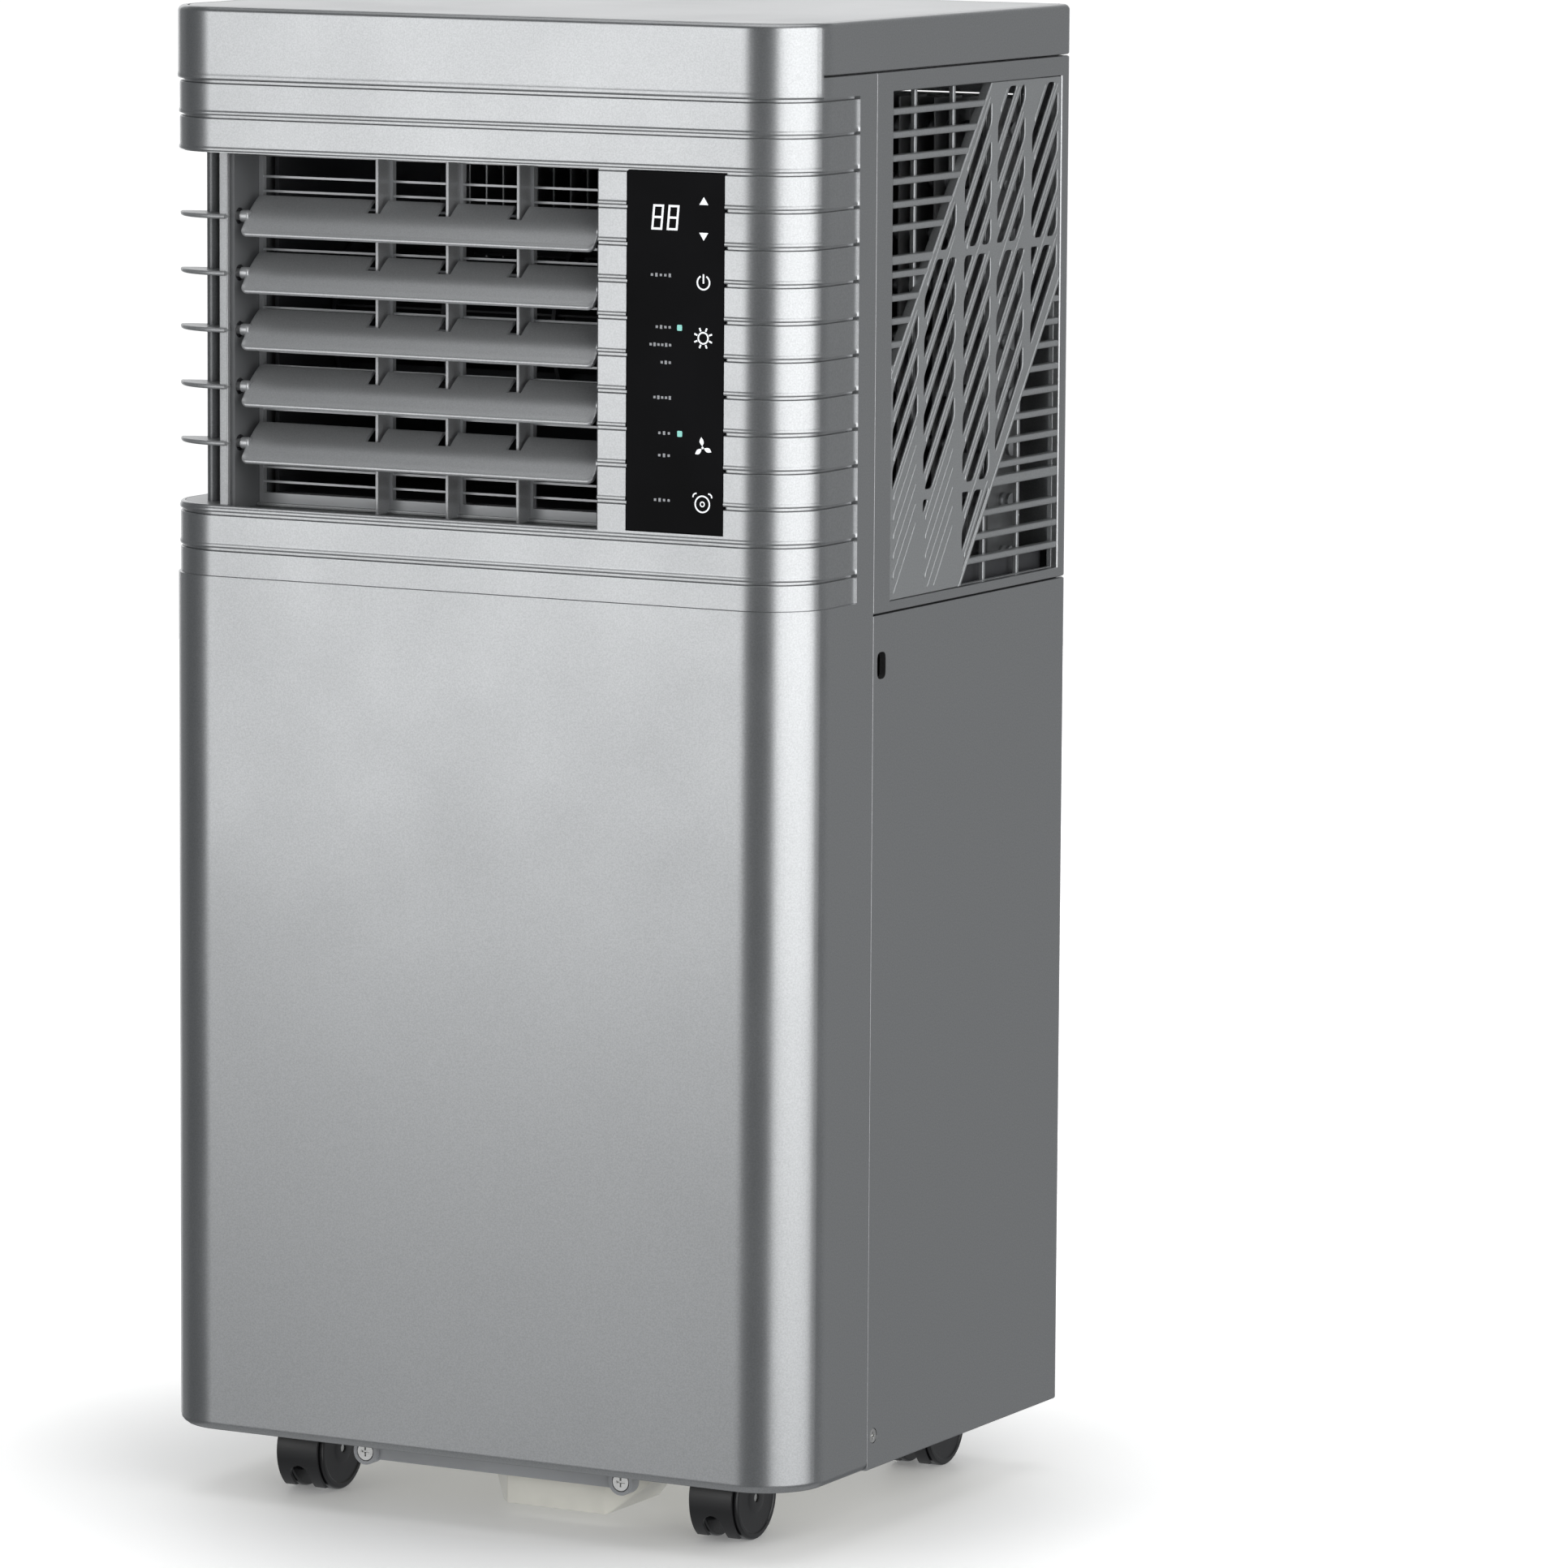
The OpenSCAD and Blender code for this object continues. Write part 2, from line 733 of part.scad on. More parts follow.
// Upright bar that joins all the louvre cranks to the motor's crank
module louvre_link() {
    y = louvre_y + crank_dy;
    low = louvre_z(louvre_count) + crank_dz - 5;
    high = louvre_z(1) + crank_dz + 5;
    arm_z = louvre_z(mid_louvre) + crank_dz;
    color("#d8d8d2") difference() {
        union() {
            block([link_x, y - 3.2, low], [link_x + 3, y + 3.2, high]);
            block([link_x, y, arm_z - 3.2], [link_x + 3, motor_y + crank_dy, arm_z + 3.2]);
            x_rod([link_x, motor_y + crank_dy, arm_z], 3.2, 3);
        }
        for (i = [1 : louvre_count])
            x_rod([0, y, louvre_z(i) + crank_dz], i == 1 ? 1.5 + pivot_clearance : 1.8, big);
        x_rod([0, motor_y + crank_dy, arm_z], 1.8, big);
    }
}

module swing_crank() {
    color("#d8d8d2") translate([0, motor_y, louvre_z(mid_louvre)]) {
        rotate([crank_tilt, 0, 0]) {
            x_rod([link_x + 3.6, 0, 0], 4, 2);
            x_rod([link_x + 3.6, crank_r, 0], 3, 2);
            block([link_x + 3.6, 0, -3], [link_x + 5.6, crank_r, 3]);
            x_rod([link_x - 0.2, crank_r, 0], 1.5, 5);
        }
        x_rod([link_x + 4, 0, 0], 2.5, 10);
    }
}

module swing_motor() {
    motor_x = link_x + 7.2;
    color("#b9bcbe") translate([0, motor_y, louvre_z(mid_louvre)]) difference() {
        union() {
            x_rod([motor_x, 0, 0], 11, 14);
            x_rod([motor_x - 1, 0, 0], 5, 2);
            block([motor_x + 1, -3, -17], [motor_x + 3, 3, 17]);
        }
        x_rod([motor_x - 2, 0, 0], 2.5 + pivot_clearance, 10);
        for (s = [-1, 1]) x_rod([0, 0, s * 14], 1.6, big);
    }
}

// Three upright struts with their head and foot rails
module strut_comb() {
    z0 = outlet_z0 - 1.9;
    color(silver) {
        for (x = strut_x) block([x - 0.75, strut_front_y, z0], [x + 0.75, guard_y - 1.6, outlet_z1 - 0.2]);
        block([duct_left_x + 2.2, guard_y - 4, outlet_z1 - 2.2],
            [outlet_right, guard_y - 1.6, outlet_z1 - 0.2]);
        block([duct_left_x + 2.2, guard_y - 4, z0], [outlet_right, guard_y - 1.6, z0 + 1.6]);
    }
}

// Level bars behind the louvres
module outlet_guard() {
    pitch = 6.5;
    z0 = outlet_z0 - 1.9;
    bars = floor((outlet_h - 10) / pitch);
    left = duct_left_x + 2.2;
    color("#7d8184") {
        block([left, guard_y - 1.5, z0], [outlet_right, guard_y + 1.5, outlet_z0 + 4]);
        block([left, guard_y - 1.5, outlet_z1 - 2], [outlet_right, guard_y + 1.5, outlet_z1 - 0.2]);
        for (k = [1 : bars])
            block([left, guard_y - 0.7, outlet_z0 + 2 + k * pitch],
                [outlet_right, guard_y + 0.7, outlet_z0 + 3 + k * pitch]);
        for (x = concat([left, outlet_right - 2], strut_x))
            block([x, guard_y - 1.5, z0], [x + 2, guard_y + 1.5, outlet_z1 - 0.2]);
    }
}

// ---- Control panel ----

module touch_panel() {
    color("black") block([panel_left, -half_d + band_depth, outlet_z0 + 0.2],
        [panel_left + panel_w, -inner_y + 1.4, outlet_z1 - 0.2]);
}

module display_board() {
    y = -inner_y + 3.5;
    x0 = panel_left - 1;
    x1 = panel_left + panel_w - 1;
    color("#1f6b3a") difference() {
        union() {
            block([x0, y, outlet_z0 + 4], [x1, y + 1.6, outlet_z1 - 4]);
            block([panel_left + 9, y - 1.8, outlet_z0 + 132], [panel_left + 27, y, outlet_z0 + 146]);
            for (z = [14, 38, 66, 92, 112]) translate([panel_left + 37, 0, 0])
                y_rod([0, y - 1.8, outlet_z0 + z], 4.5, 1.8);
            block([x0 + 6, y + 1.6, outlet_z0 + 20], [x0 + 26, y + 4, outlet_z0 + 40]);
        }
        for (x = [x0 + 4, x1 - 4], z = [outlet_z0 + 8, outlet_z1 - 8]) y_rod([x, 0 - big, z], 1.6, 2 * big);
    }
}

module control_box() {
    color("#c9ccce") difference() {
        block([12, -124, 262], [140, -88, 398]);
        block([14, -122, 264], [138, -90, 396]);
        y_rod([30, -95, 300], 4, 20);
    }
    color("#1f6b3a") block([18, -120, 270], [134, -118.4, 390]);
    color("#1f6b3a") for (z = [275, 385]) block([20, -122.2, z - 3], [26, -118, z + 3]);
}

module run_capacitor() {
    color("#d4d6d8") {
        translate([128, -70, 45]) cylinder(r = 17, h = 70);
        for (s = [-1, 1]) translate([128 + s * 6, -70, 114]) cylinder(r = 2, h = 9);
    }
}

// ---- Refrigeration circuit ----

comp_x = -84;
comp_y = -38;

module compressor() {
    r = 44;
    color("#222427") translate([comp_x, comp_y, 0]) {
        translate([0, 0, 64]) cylinder(r = r, h = 150);
        translate([0, 0, 214]) cylinder(r1 = r, r2 = r - 14, h = 12);
        translate([0, 0, 226]) cylinder(r = 5, h = 12);
        difference() {
            translate([0, 0, 58]) for (a = [30, 150, 270]) rotate([0, 0, a]) block([0, -9, 0], [58, 9, 6]);
            for (a = [30, 150, 270]) rotate([0, 0, a]) translate([52, 0, 0]) cylinder(r = 4.2, h = big);
        }
    }
}

module compressor_feet() {
    color("#1a1a1a") translate([comp_x, comp_y, 0]) for (a = [30, 150, 270]) rotate([0, 0, a])
        translate([52, 0, 45]) {
            cylinder(r = 8, h = 13);
            cylinder(r = 4.2, h = 20);
            translate([0, 0, 19]) cylinder(r = 6, h = 3);
        }
}

module accumulator() {
    color("#2c2f33") translate([comp_x + 66, comp_y, 0]) {
        translate([0, 0, 96]) cylinder(r = 17, h = 90);
        translate([0, 0, 96]) sphere(r = 17);
        translate([0, 0, 186]) sphere(r = 17);
        block([-21.8, -7, 130], [0, 7, 140]);
    }
}

// Finned coil between two end plates, its tubes along X
module coil(x0, x1, y0, y1, z0, z1, fin_pitch) {
    fins = floor((x1 - x0 - 4) / fin_pitch);
    rows = floor((z1 - z0) / 24);
    y_mid = (y0 + y1) / 2;
    color("#c4c8ca") {
        for (k = [0 : fins]) block([x0 + 1.5 + k * fin_pitch, y0 + 1, z0], [x0 + 2.3 + k * fin_pitch, y1 - 1, z1]);
        for (x = [x0, x1 - 1.2]) block([x, y0, z0], [x + 1.2, y1, z1]);
        for (k = [0 : rows - 1]) x_rod([x0 - 5, y_mid, z0 + 12 + k * 24], 3.5, x1 - x0 + 10);
    }
}

module evaporator_coil() {
    coil(-146, 146, 84, 112, tray_z + 2.5, 632, 9);
}

module condenser_coil() {
    coil(-152, -12, 84, 112, 66, 330, 7);
}

lower_fan_z = 150;

// Volute of the condenser fan, with its duct up to the hot air port
module lower_fan_scroll() {
    y0 = 34;
    y1 = inner_y - 30.2;
    color("#4a4d50") difference() {
        union() {
            y_rod([port_x, y0, lower_fan_z], 74, y1 - y0);
            block([port_x - 74, y0, lower_fan_z], [port_x + 74, y1, port_z]);
            y_rod([port_x, y0, port_z], 74, y1 - y0);
        }
        y_rod([port_x, y0 + 2, lower_fan_z], 72, y1 - y0 - 4);
        block([port_x - 72, y0 + 2, lower_fan_z], [port_x + 72, y1 - 2, port_z]);
        y_rod([port_x, y0 + 2, port_z], 72, y1 - y0 - 4);
        y_rod([port_x, 0, lower_fan_z], 46, 50);
        y_rod([port_x, 60, port_z], port_r + 3, 100);
    }
}

// Squirrel-cage wheel along Z, with its hub's shaft hole
module cage_wheel(r, length, blades, shaft_r) {
    difference() {
        cylinder(r = r, h = 2);
        translate([0, 0, -1]) cylinder(r = shaft_r, h = 4);
    }
    difference() {
        cylinder(r = 9, h = 14);
        translate([0, 0, -1]) cylinder(r = shaft_r, h = 20);
    }
    translate([0, 0, length - 2]) difference() {
        cylinder(r = r, h = 2);
        translate([0, 0, -1]) cylinder(r = r - 9, h = 4);
    }
    for (k = [0 : blades - 1]) rotate([0, 0, k * 360 / blades]) translate([r - 7.8, 0, 1])
        rotate([0, 0, 35]) cube([7, 1, length - 2]);
}

module lower_fan_wheel() {
    color("#3c3f42") translate([port_x, 86, lower_fan_z]) rotate([90, 0, 0]) cage_wheel(60, 40, 24, 4);
    color("silver") y_rod([port_x, 18, lower_fan_z], 4, 70);
}

module lower_fan_motor() {
    color("#b0b3b6") difference() {
        union() {
            y_rod([port_x, -14, lower_fan_z], 33, 40);
            for (a = [45 : 90 : 315]) translate([port_x, 10, lower_fan_z]) rotate([0, a, 0])
                block([30, 18, -4], [62, 23.8, 4]);
        }
        y_rod([port_x, 10, lower_fan_z], 4 + pivot_clearance, 60);
    }
}

upper_fan_y = -8;
upper_fan_z = 530;
upper_fan_r = 46;

// Guide walls and end plates of the cross-flow blower
module upper_fan_scroll() {
    x0 = -121;
    x1 = 60;
    y0 = duct_back_y + 1;
    color("#4a4d50") {
        for (x = [x0, x1 - 2]) difference() {
            block([x, y0, outlet_z0 + 2], [x + 2, upper_fan_y + 54, outlet_z1]);
            x_rod([x - 1, upper_fan_y, upper_fan_z], x < 0 ? 4 + pivot_clearance : 12, 4);
        }
        block([x0, y0, outlet_z0 + 2], [x1, upper_fan_y, outlet_z0 + 4]);
        intersection() {
            difference() {
                x_rod([x0, upper_fan_y, outlet_z0 + 56], 54, x1 - x0);
                x_rod([x0 - 1, upper_fan_y, outlet_z0 + 56], 52, x1 - x0 + 2);
            }
            block([x0, upper_fan_y, outlet_z0 + 2], [x1, upper_fan_y + 60, outlet_z0 + 56]);
        }
        block([x0, y0, outlet_z1 - 2], [x1, upper_fan_y - 50, outlet_z1]);
    }
}

module upper_fan_wheel() {
    color("#3c3f42") translate([-117, upper_fan_y, upper_fan_z]) rotate([0, 90, 0]) {
        difference() {
            cylinder(r = upper_fan_r, h = 2);
            translate([0, 0, -1]) cylinder(r = 4, h = 4);
        }
        for (z = [57, 114, 170]) translate([0, 0, z]) difference() {
            cylinder(r = upper_fan_r, h = 2);
            translate([0, 0, -1]) cylinder(r = z == 170 ? 4 : upper_fan_r - 9, h = 4);
        }
        for (k = [0 : 23]) rotate([0, 0, k * 15]) translate([upper_fan_r - 7.8, 0, 1])
            rotate([0, 0, 30]) cube([7, 1, 170]);
    }
    color("silver") x_rod([-123, upper_fan_y, upper_fan_z], 4, 207);
}

module upper_fan_motor() {
    color("#b0b3b6") difference() {
        union() {
            x_rod([68, upper_fan_y, upper_fan_z], 30, 46);
            for (s = [-1, 1])
                block([60.1, upper_fan_y - 5, upper_fan_z + s * 38 - 12],
                    [68, upper_fan_y + 5, upper_fan_z + s * 38 + 12]);
            block([68, upper_fan_y - 5, upper_fan_z - 50], [72, upper_fan_y + 5, upper_fan_z + 50]);
        }
        x_rod([60, upper_fan_y, upper_fan_z], 4 + pivot_clearance, 40);
    }
}

tray_z = 411.5;

// Tray between the warm and the cool half, with the upper drain spout
module partition_tray() {
    fit = wall + 0.6;
    z0 = tray_z;
    color("#e9e6d6") difference() {
        union() {
            translate([0, 0, z0]) linear_extrude(2.5) footprint(fit);
            translate([0, 0, z0]) linear_extrude(15) casing_ring(fit + 6, fit + 8);
            y_rod([drain_x, 113, drain_high_z], drain_r + 3, inner_y - 1.6 - 113);
            block([drain_x - 6, 113, z0], [drain_x + 6, inner_y - 4, drain_high_z]);
        }
        y_rod([drain_x, 90, drain_high_z], drain_r, big);
        for (x = [comp_x + 66, -46]) translate([x, 40, 0]) cylinder(r = 8, h = 2 * big);
        translate([30, -60, 0]) cylinder(r = 12, h = 2 * big);
    }
}

module refrigerant_pipes() {
    r = 3.2;
    color("#b87333") {
        pipe_run([[comp_x, comp_y, 242], [comp_x, comp_y, 350], [comp_x, 70, 350], [comp_x, 70, 340],
            [-160 + 14, 70, 340]], r);
        pipe_run([[comp_x + 66, comp_y, 206.4], [comp_x + 66, comp_y, 380], [comp_x + 66, 40, 380],
            [comp_x + 66, 40, 440], [comp_x + 66, 70, 440]], r);
        pipe_run([[-46, 70, 90], [-46, 40, 90], [-46, 40, 445], [-46, 70, 445]], 2);
    }
}

// ---- Assembly ----

front_shell();
top_cover();
rear_shell_upper();
rear_shell_lower();
side_grille_right();
side_grille_left();
intake_grille();
filter_cover();
filter_screen();
exhaust_collar();
drain_plug_upper();
drain_plug_lower();
base_pan();
front_rail();
rail_screws();
case_screws();
sump();
caster_sockets();
outlet_frame();
corner_fins();
strut_comb();
outlet_guard();
louvre_link();
swing_crank();
swing_motor();
touch_panel();
display_board();
control_box();
run_capacitor();
compressor();
compressor_feet();
accumulator();
condenser_coil();
evaporator_coil();
lower_fan_scroll();
lower_fan_wheel();
lower_fan_motor();
upper_fan_scroll();
upper_fan_wheel();
upper_fan_motor();
partition_tray();
refrigerant_pipes();
cord_gland();
for (i = [1 : louvre_count]) louvre(i);
for (c = corners) {
    at_corner(c) hood();
    at_corner(c) wheel_pair();
    at_corner(c) wheel_axle();
}
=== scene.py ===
"""Looks of a portable air conditioner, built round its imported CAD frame.

Lengths in this script are millimetres; meshes are written in metres. Front is -Y, up is +Z.
"""
import bpy
import bmesh
import json
import math
from mathutils import Matrix, Vector

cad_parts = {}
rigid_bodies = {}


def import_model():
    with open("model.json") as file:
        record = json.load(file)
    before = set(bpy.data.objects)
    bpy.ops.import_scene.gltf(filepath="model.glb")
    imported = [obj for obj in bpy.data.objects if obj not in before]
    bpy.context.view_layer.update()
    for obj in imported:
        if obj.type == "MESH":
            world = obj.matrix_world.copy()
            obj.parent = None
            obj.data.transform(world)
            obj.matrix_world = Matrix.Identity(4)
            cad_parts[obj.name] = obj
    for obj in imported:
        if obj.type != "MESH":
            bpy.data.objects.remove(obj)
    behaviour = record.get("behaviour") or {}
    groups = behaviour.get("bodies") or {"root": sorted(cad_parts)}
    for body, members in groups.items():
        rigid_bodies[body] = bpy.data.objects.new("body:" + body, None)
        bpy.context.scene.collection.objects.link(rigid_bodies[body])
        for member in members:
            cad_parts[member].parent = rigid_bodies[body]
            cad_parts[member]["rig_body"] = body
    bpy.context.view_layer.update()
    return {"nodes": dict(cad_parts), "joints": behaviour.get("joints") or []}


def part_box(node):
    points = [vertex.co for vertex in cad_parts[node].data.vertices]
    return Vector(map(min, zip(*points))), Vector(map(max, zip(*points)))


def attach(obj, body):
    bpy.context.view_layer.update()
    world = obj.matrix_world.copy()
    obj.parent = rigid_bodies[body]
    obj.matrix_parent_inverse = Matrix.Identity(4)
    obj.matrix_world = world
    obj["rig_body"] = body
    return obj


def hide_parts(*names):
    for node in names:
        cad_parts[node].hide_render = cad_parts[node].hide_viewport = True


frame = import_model()

MM = 0.001
SCENE = bpy.context.scene


# ---- Sizes, from the frame ----

def box_mm(node):
    low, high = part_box(node)
    return [v / MM for v in low], [v / MM for v in high]


def centre_mm(node):
    return [(low + high) / 2 for low, high in zip(*box_mm(node))]


def joint_mm(name):
    joint = next(j for j in frame["joints"] if j["name"] == name)
    return [v / MM for v in joint["pos_m"]]


shell_low, shell_high = box_mm("front_shell")
cover_low, cover_high = box_mm("top_cover")
HALF_W = cover_high[0]
HALF_D = cover_high[1]
SHELL_Z0 = shell_low[2]
SHELL_Z1 = cover_high[2]
FRONT_R = 30.0
BACK_R = 6.0
WALL = 3.0
SEAM = 0.6
BAND = 1.0
GROOVE_PITCH = 16.07
GROOVE_COUNT = 13
GROOVE_W = 1.2
COVER_FRONT_Z = cover_low[2]
COVER_SIDE_Z = shell_high[2] + SEAM
COVER_STEP_Y = -108.5
FIRST_GROOVE_Z = COVER_FRONT_Z - GROOVE_PITCH
BAND_Z0 = FIRST_GROOVE_Z - (GROOVE_COUNT - 1) * GROOVE_PITCH - 11.9
POCKET_Y = -77.0
# The looks close the CAD's 0.6 mm seam between the shells to 0.2 mm
SEAM_Y = shell_high[1] + 0.4
REAR_START_Y = SEAM_Y + 0.2
SEAM_EDGE = 0.3
RIM_EDGE = 0.8
WINDOW_EDGE = 1.0
FOOT_EDGE = 4
PANEL_GAP = 0.2
THIN_WALL = WALL - 0.3
CORNER_STEPS = 24
BACK_CORNER_STEPS = 10

fins_low, fins_high = box_mm("corner_fins")
OUTLET_Z0 = fins_low[2] + 2
OUTLET_Z1 = fins_high[2] - 2
DUCT_LEFT = box_mm("strut_comb")[0][0] - 2.2
OUTLET_RIGHT = box_mm("strut_comb")[1][0]
NICHE_Y = box_mm("outlet_frame")[1][1]
panel_low, panel_high = box_mm("touch_panel")
grille_low, grille_high = box_mm("side_grille_right")
GRILLE_FLANGE = 4.0
GRILLE_Y0 = grille_low[1] + GRILLE_FLANGE
GRILLE_Y1 = grille_high[1] - GRILLE_FLANGE
GRILLE_Z0 = grille_low[2] + GRILLE_FLANGE
GRILLE_Z1 = grille_high[2] - GRILLE_FLANGE
SIDE_SEAM_Z = box_mm("rear_shell_upper")[0][2]
LOWER_TOP_Z = box_mm("rear_shell_lower")[1][2]


def groove_z(k):
    """Middle height of a groove. Number -1 is the open end of the joint under the top cover."""
    return FIRST_GROOVE_Z - k * GROOVE_PITCH - (GROOVE_W / 2 if k < 0 else 0)


# ---- Mesh helpers ----

def new_object(name, mesh):
    obj = bpy.data.objects.new(name, mesh)
    SCENE.collection.objects.link(obj)
    return obj


def apply_modifiers(obj):
    bpy.context.view_layer.update()
    graph = bpy.context.evaluated_depsgraph_get()
    mesh = bpy.data.meshes.new_from_object(obj.evaluated_get(graph))
    obj.modifiers.clear()
    obj.data = mesh


def to_mesh(name, verts, faces):
    """Closed mesh in metres from points in millimetres, its faces turned outwards."""
    mesh = bpy.data.meshes.new(name)
    bm = bmesh.new()
    points = [bm.verts.new(Vector(v) * MM) for v in verts]
    for face in faces:
        corners = [points[i] for i in dict.fromkeys(face)]
        if len(corners) > 2:
            bm.faces.new(corners)
    bmesh.ops.delete(bm, geom=[v for v in bm.verts if not v.link_faces], context="VERTS")
    bmesh.ops.remove_doubles(bm, verts=bm.verts, dist=1e-6)
    bmesh.ops.recalc_face_normals(bm, faces=bm.faces)
    bm.to_mesh(mesh)
    bm.free()
    return mesh


def join(name, objects, outward=False):
    """One object from several, keeping their faces, or turning them outwards."""
    mesh = bpy.data.meshes.new(name)
    bm = bmesh.new()
    for obj in objects:
        obj.data.transform(obj.matrix_world)
        bm.from_mesh(obj.data)
        bpy.data.objects.remove(obj)
    if outward:
        bmesh.ops.recalc_face_normals(bm, faces=bm.faces)
    bm.to_mesh(mesh)
    bm.free()
    return new_object(name, mesh)


def dress(obj, material, body, nodes=(), angle=35):
    """Gives a finished piece its material, its shading, its body and the nodes that it stands for."""
    obj.data.materials.clear()
    obj.data.materials.append(material)
    obj.data.polygons.foreach_set("material_index", [0] * len(obj.data.polygons))
    obj.data.shade_smooth()
    obj.data.set_sharp_from_angle(angle=math.radians(angle))
    even = obj.modifiers.new("even_shading", "WEIGHTED_NORMAL")
    even.keep_sharp = True
    apply_modifiers(obj)
    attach(obj, body)
    if nodes:
        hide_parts(*nodes)
    return obj


def bevel(obj, width, segments=2):
    mod = obj.modifiers.new("bevel", "BEVEL")
    mod.width = width * MM
    mod.segments = segments
    mod.limit_method = "ANGLE"
    mod.angle_limit = math.radians(30)
    mod.use_clamp_overlap = True
    apply_modifiers(obj)
    return obj


def cut(obj, cutters):
    """Takes the cutters' volume out of obj."""
    for cutter in cutters:
        mod = obj.modifiers.new("cut", "BOOLEAN")
        mod.operation = "DIFFERENCE"
        mod.solver = "EXACT"
        mod.object = cutter
    apply_modifiers(obj)
    for cutter in cutters:
        bpy.data.objects.remove(cutter)
    return obj


def cad_copy(node, name, whole=True):
    """Clean copy of a CAD node's mesh: shared corners joined and, if whole, flat faces made whole."""
    mesh = frame["nodes"][node].data.copy()
    bm = bmesh.new()
    bm.from_mesh(mesh)
    bmesh.ops.remove_doubles(bm, verts=bm.verts, dist=2e-6)
    if whole:
        bmesh.ops.dissolve_limit(bm, angle_limit=math.radians(0.5), verts=bm.verts, edges=bm.edges)
    bm.to_mesh(mesh)
    bm.free()
    mesh.name = name
    return new_object(name, mesh)


def soften(node, material, width, segments=2, *, name, whole=True):
    """A CAD node's shape with rounded edges, standing for that node."""
    obj = cad_copy(node, name, whole)
    bevel(obj, width, segments)
    return dress(obj, material, frame["nodes"][node]["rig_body"], [node])


def brick(name, low, high):
    x0, y0, z0 = low
    x1, y1, z1 = high
    verts = [(x, y, z) for x in (x0, x1) for y in (y0, y1) for z in (z0, z1)]
    faces = [(0, 1, 3, 2), (4, 6, 7, 5), (0, 4, 5, 1), (2, 3, 7, 6), (0, 2, 6, 4), (1, 5, 7, 3)]
    return new_object(name, to_mesh(name, verts, faces))


AXES = {
    "x": lambda a, u, v: (a, u, v),
    "y": lambda a, u, v: (v, a, u),
    "z": lambda a, u, v: (u, v, a),
}


def lathe(name, profile, centre, axis="z", segments=48):
    """Solid of revolution. profile lists (radius, distance along the axis), end to end."""
    place = AXES[axis]
    verts, rings = [], []
    for radius, along in profile:
        ring = []
        for s in range(segments if radius > 0 else 1):
            turn = 2 * math.pi * s / segments
            ring.append(len(verts))
            p = place(along, radius * math.cos(turn), radius * math.sin(turn))
            verts.append([centre[i] + p[i] for i in range(3)])
        rings.append(ring)
    faces = []
    for low, high in zip(rings, rings[1:]):
        for s in range(segments):
            a, b = low[s % len(low)], low[(s + 1) % len(low)]
            c, d = high[(s + 1) % len(high)], high[s % len(high)]
            faces.append((a, b, c, d))
    if len(rings[0]) > 1 and profile[0] != profile[-1]:
        faces.append(tuple(rings[0]))
        faces.append(tuple(rings[-1]))
    return new_object(name, to_mesh(name, verts, faces))


def round_rod(name, start, end_along, radius, axis, edge=0.4, segments=32):
    """Rod along an axis with rounded ends, from start for end_along millimetres."""
    steps = [0, 0.3, 0.7, 1]
    turns = [s * math.pi / 2 for s in steps]
    head = [(radius - edge * (1 - math.sin(t)), edge * (1 - math.cos(t))) for t in turns]
    tail = [(r, end_along - a) for r, a in reversed(head)]
    return lathe(name, head + tail, start, axis, segments)


def plate(name, loops, thickness, edge, place, resolution=3):
    """Flat plate with rounded edges. loops are outlines in (u, v), outer ones anticlockwise, holes clockwise.
    place turns (u, v, w) into a point, with w from 0 to thickness."""
    curve = bpy.data.curves.new(name, "CURVE")
    curve.dimensions = "2D"
    curve.fill_mode = "BOTH"
    curve.extrude = thickness / 2 - edge
    curve.bevel_depth = edge
    curve.bevel_resolution = resolution
    curve.offset = -edge
    for loop in loops:
        spline = curve.splines.new("POLY")
        spline.points.add(len(loop) - 1)
        for point, (u, v) in zip(spline.points, loop):
            point.co = (u, v, 0, 1)
        spline.use_cyclic_u = True
    temp = new_object(name + "_outline", curve)
    bpy.context.view_layer.update()
    graph = bpy.context.evaluated_depsgraph_get()
    mesh = bpy.data.meshes.new_from_object(temp.evaluated_get(graph))
    bpy.data.objects.remove(temp)
    for vert in mesh.vertices:
        u, v, w = vert.co
        vert.co = Vector(place(u, v, w + thickness / 2)) * MM
    bm = bmesh.new()
    bm.from_mesh(mesh)
    bmesh.ops.remove_doubles(bm, verts=bm.verts, dist=2e-6)
    bmesh.ops.recalc_face_normals(bm, faces=bm.faces)
    bm.to_mesh(mesh)
    bm.free()
    mesh.name = name
    return new_object(name, mesh)


def rounded(points, reach, steps=4):
    """Outline with its corners rounded off from reach before each corner to reach after it."""
    out = []
    for i, corner in enumerate(points):
        p = Vector(corner)
        a = Vector(points[i - 1]) - p
        b = Vector(points[(i + 1) % len(points)]) - p
        if a.length < 1e-6 or b.length < 1e-6:
            continue
        start = p + a.normalized() * min(reach, 0.45 * a.length)
        end = p + b.normalized() * min(reach, 0.45 * b.length)
        for s in range(steps + 1):
            t = s / steps
            out.append(tuple(start.lerp(p, t).lerp(p.lerp(end, t), t)))
    return out


def rect(u0, v0, u1, v1, radius=0.0):
    points = [(u0, v0), (u1, v0), (u1, v1), (u0, v1)]
    return rounded(points, radius) if radius else points


def hole(loop):
    return list(reversed(loop))


def circle(u, v, r, steps=48):
    return [(u + r * math.cos(2 * math.pi * s / steps), v + r * math.sin(2 * math.pi * s / steps))
            for s in range(steps)]


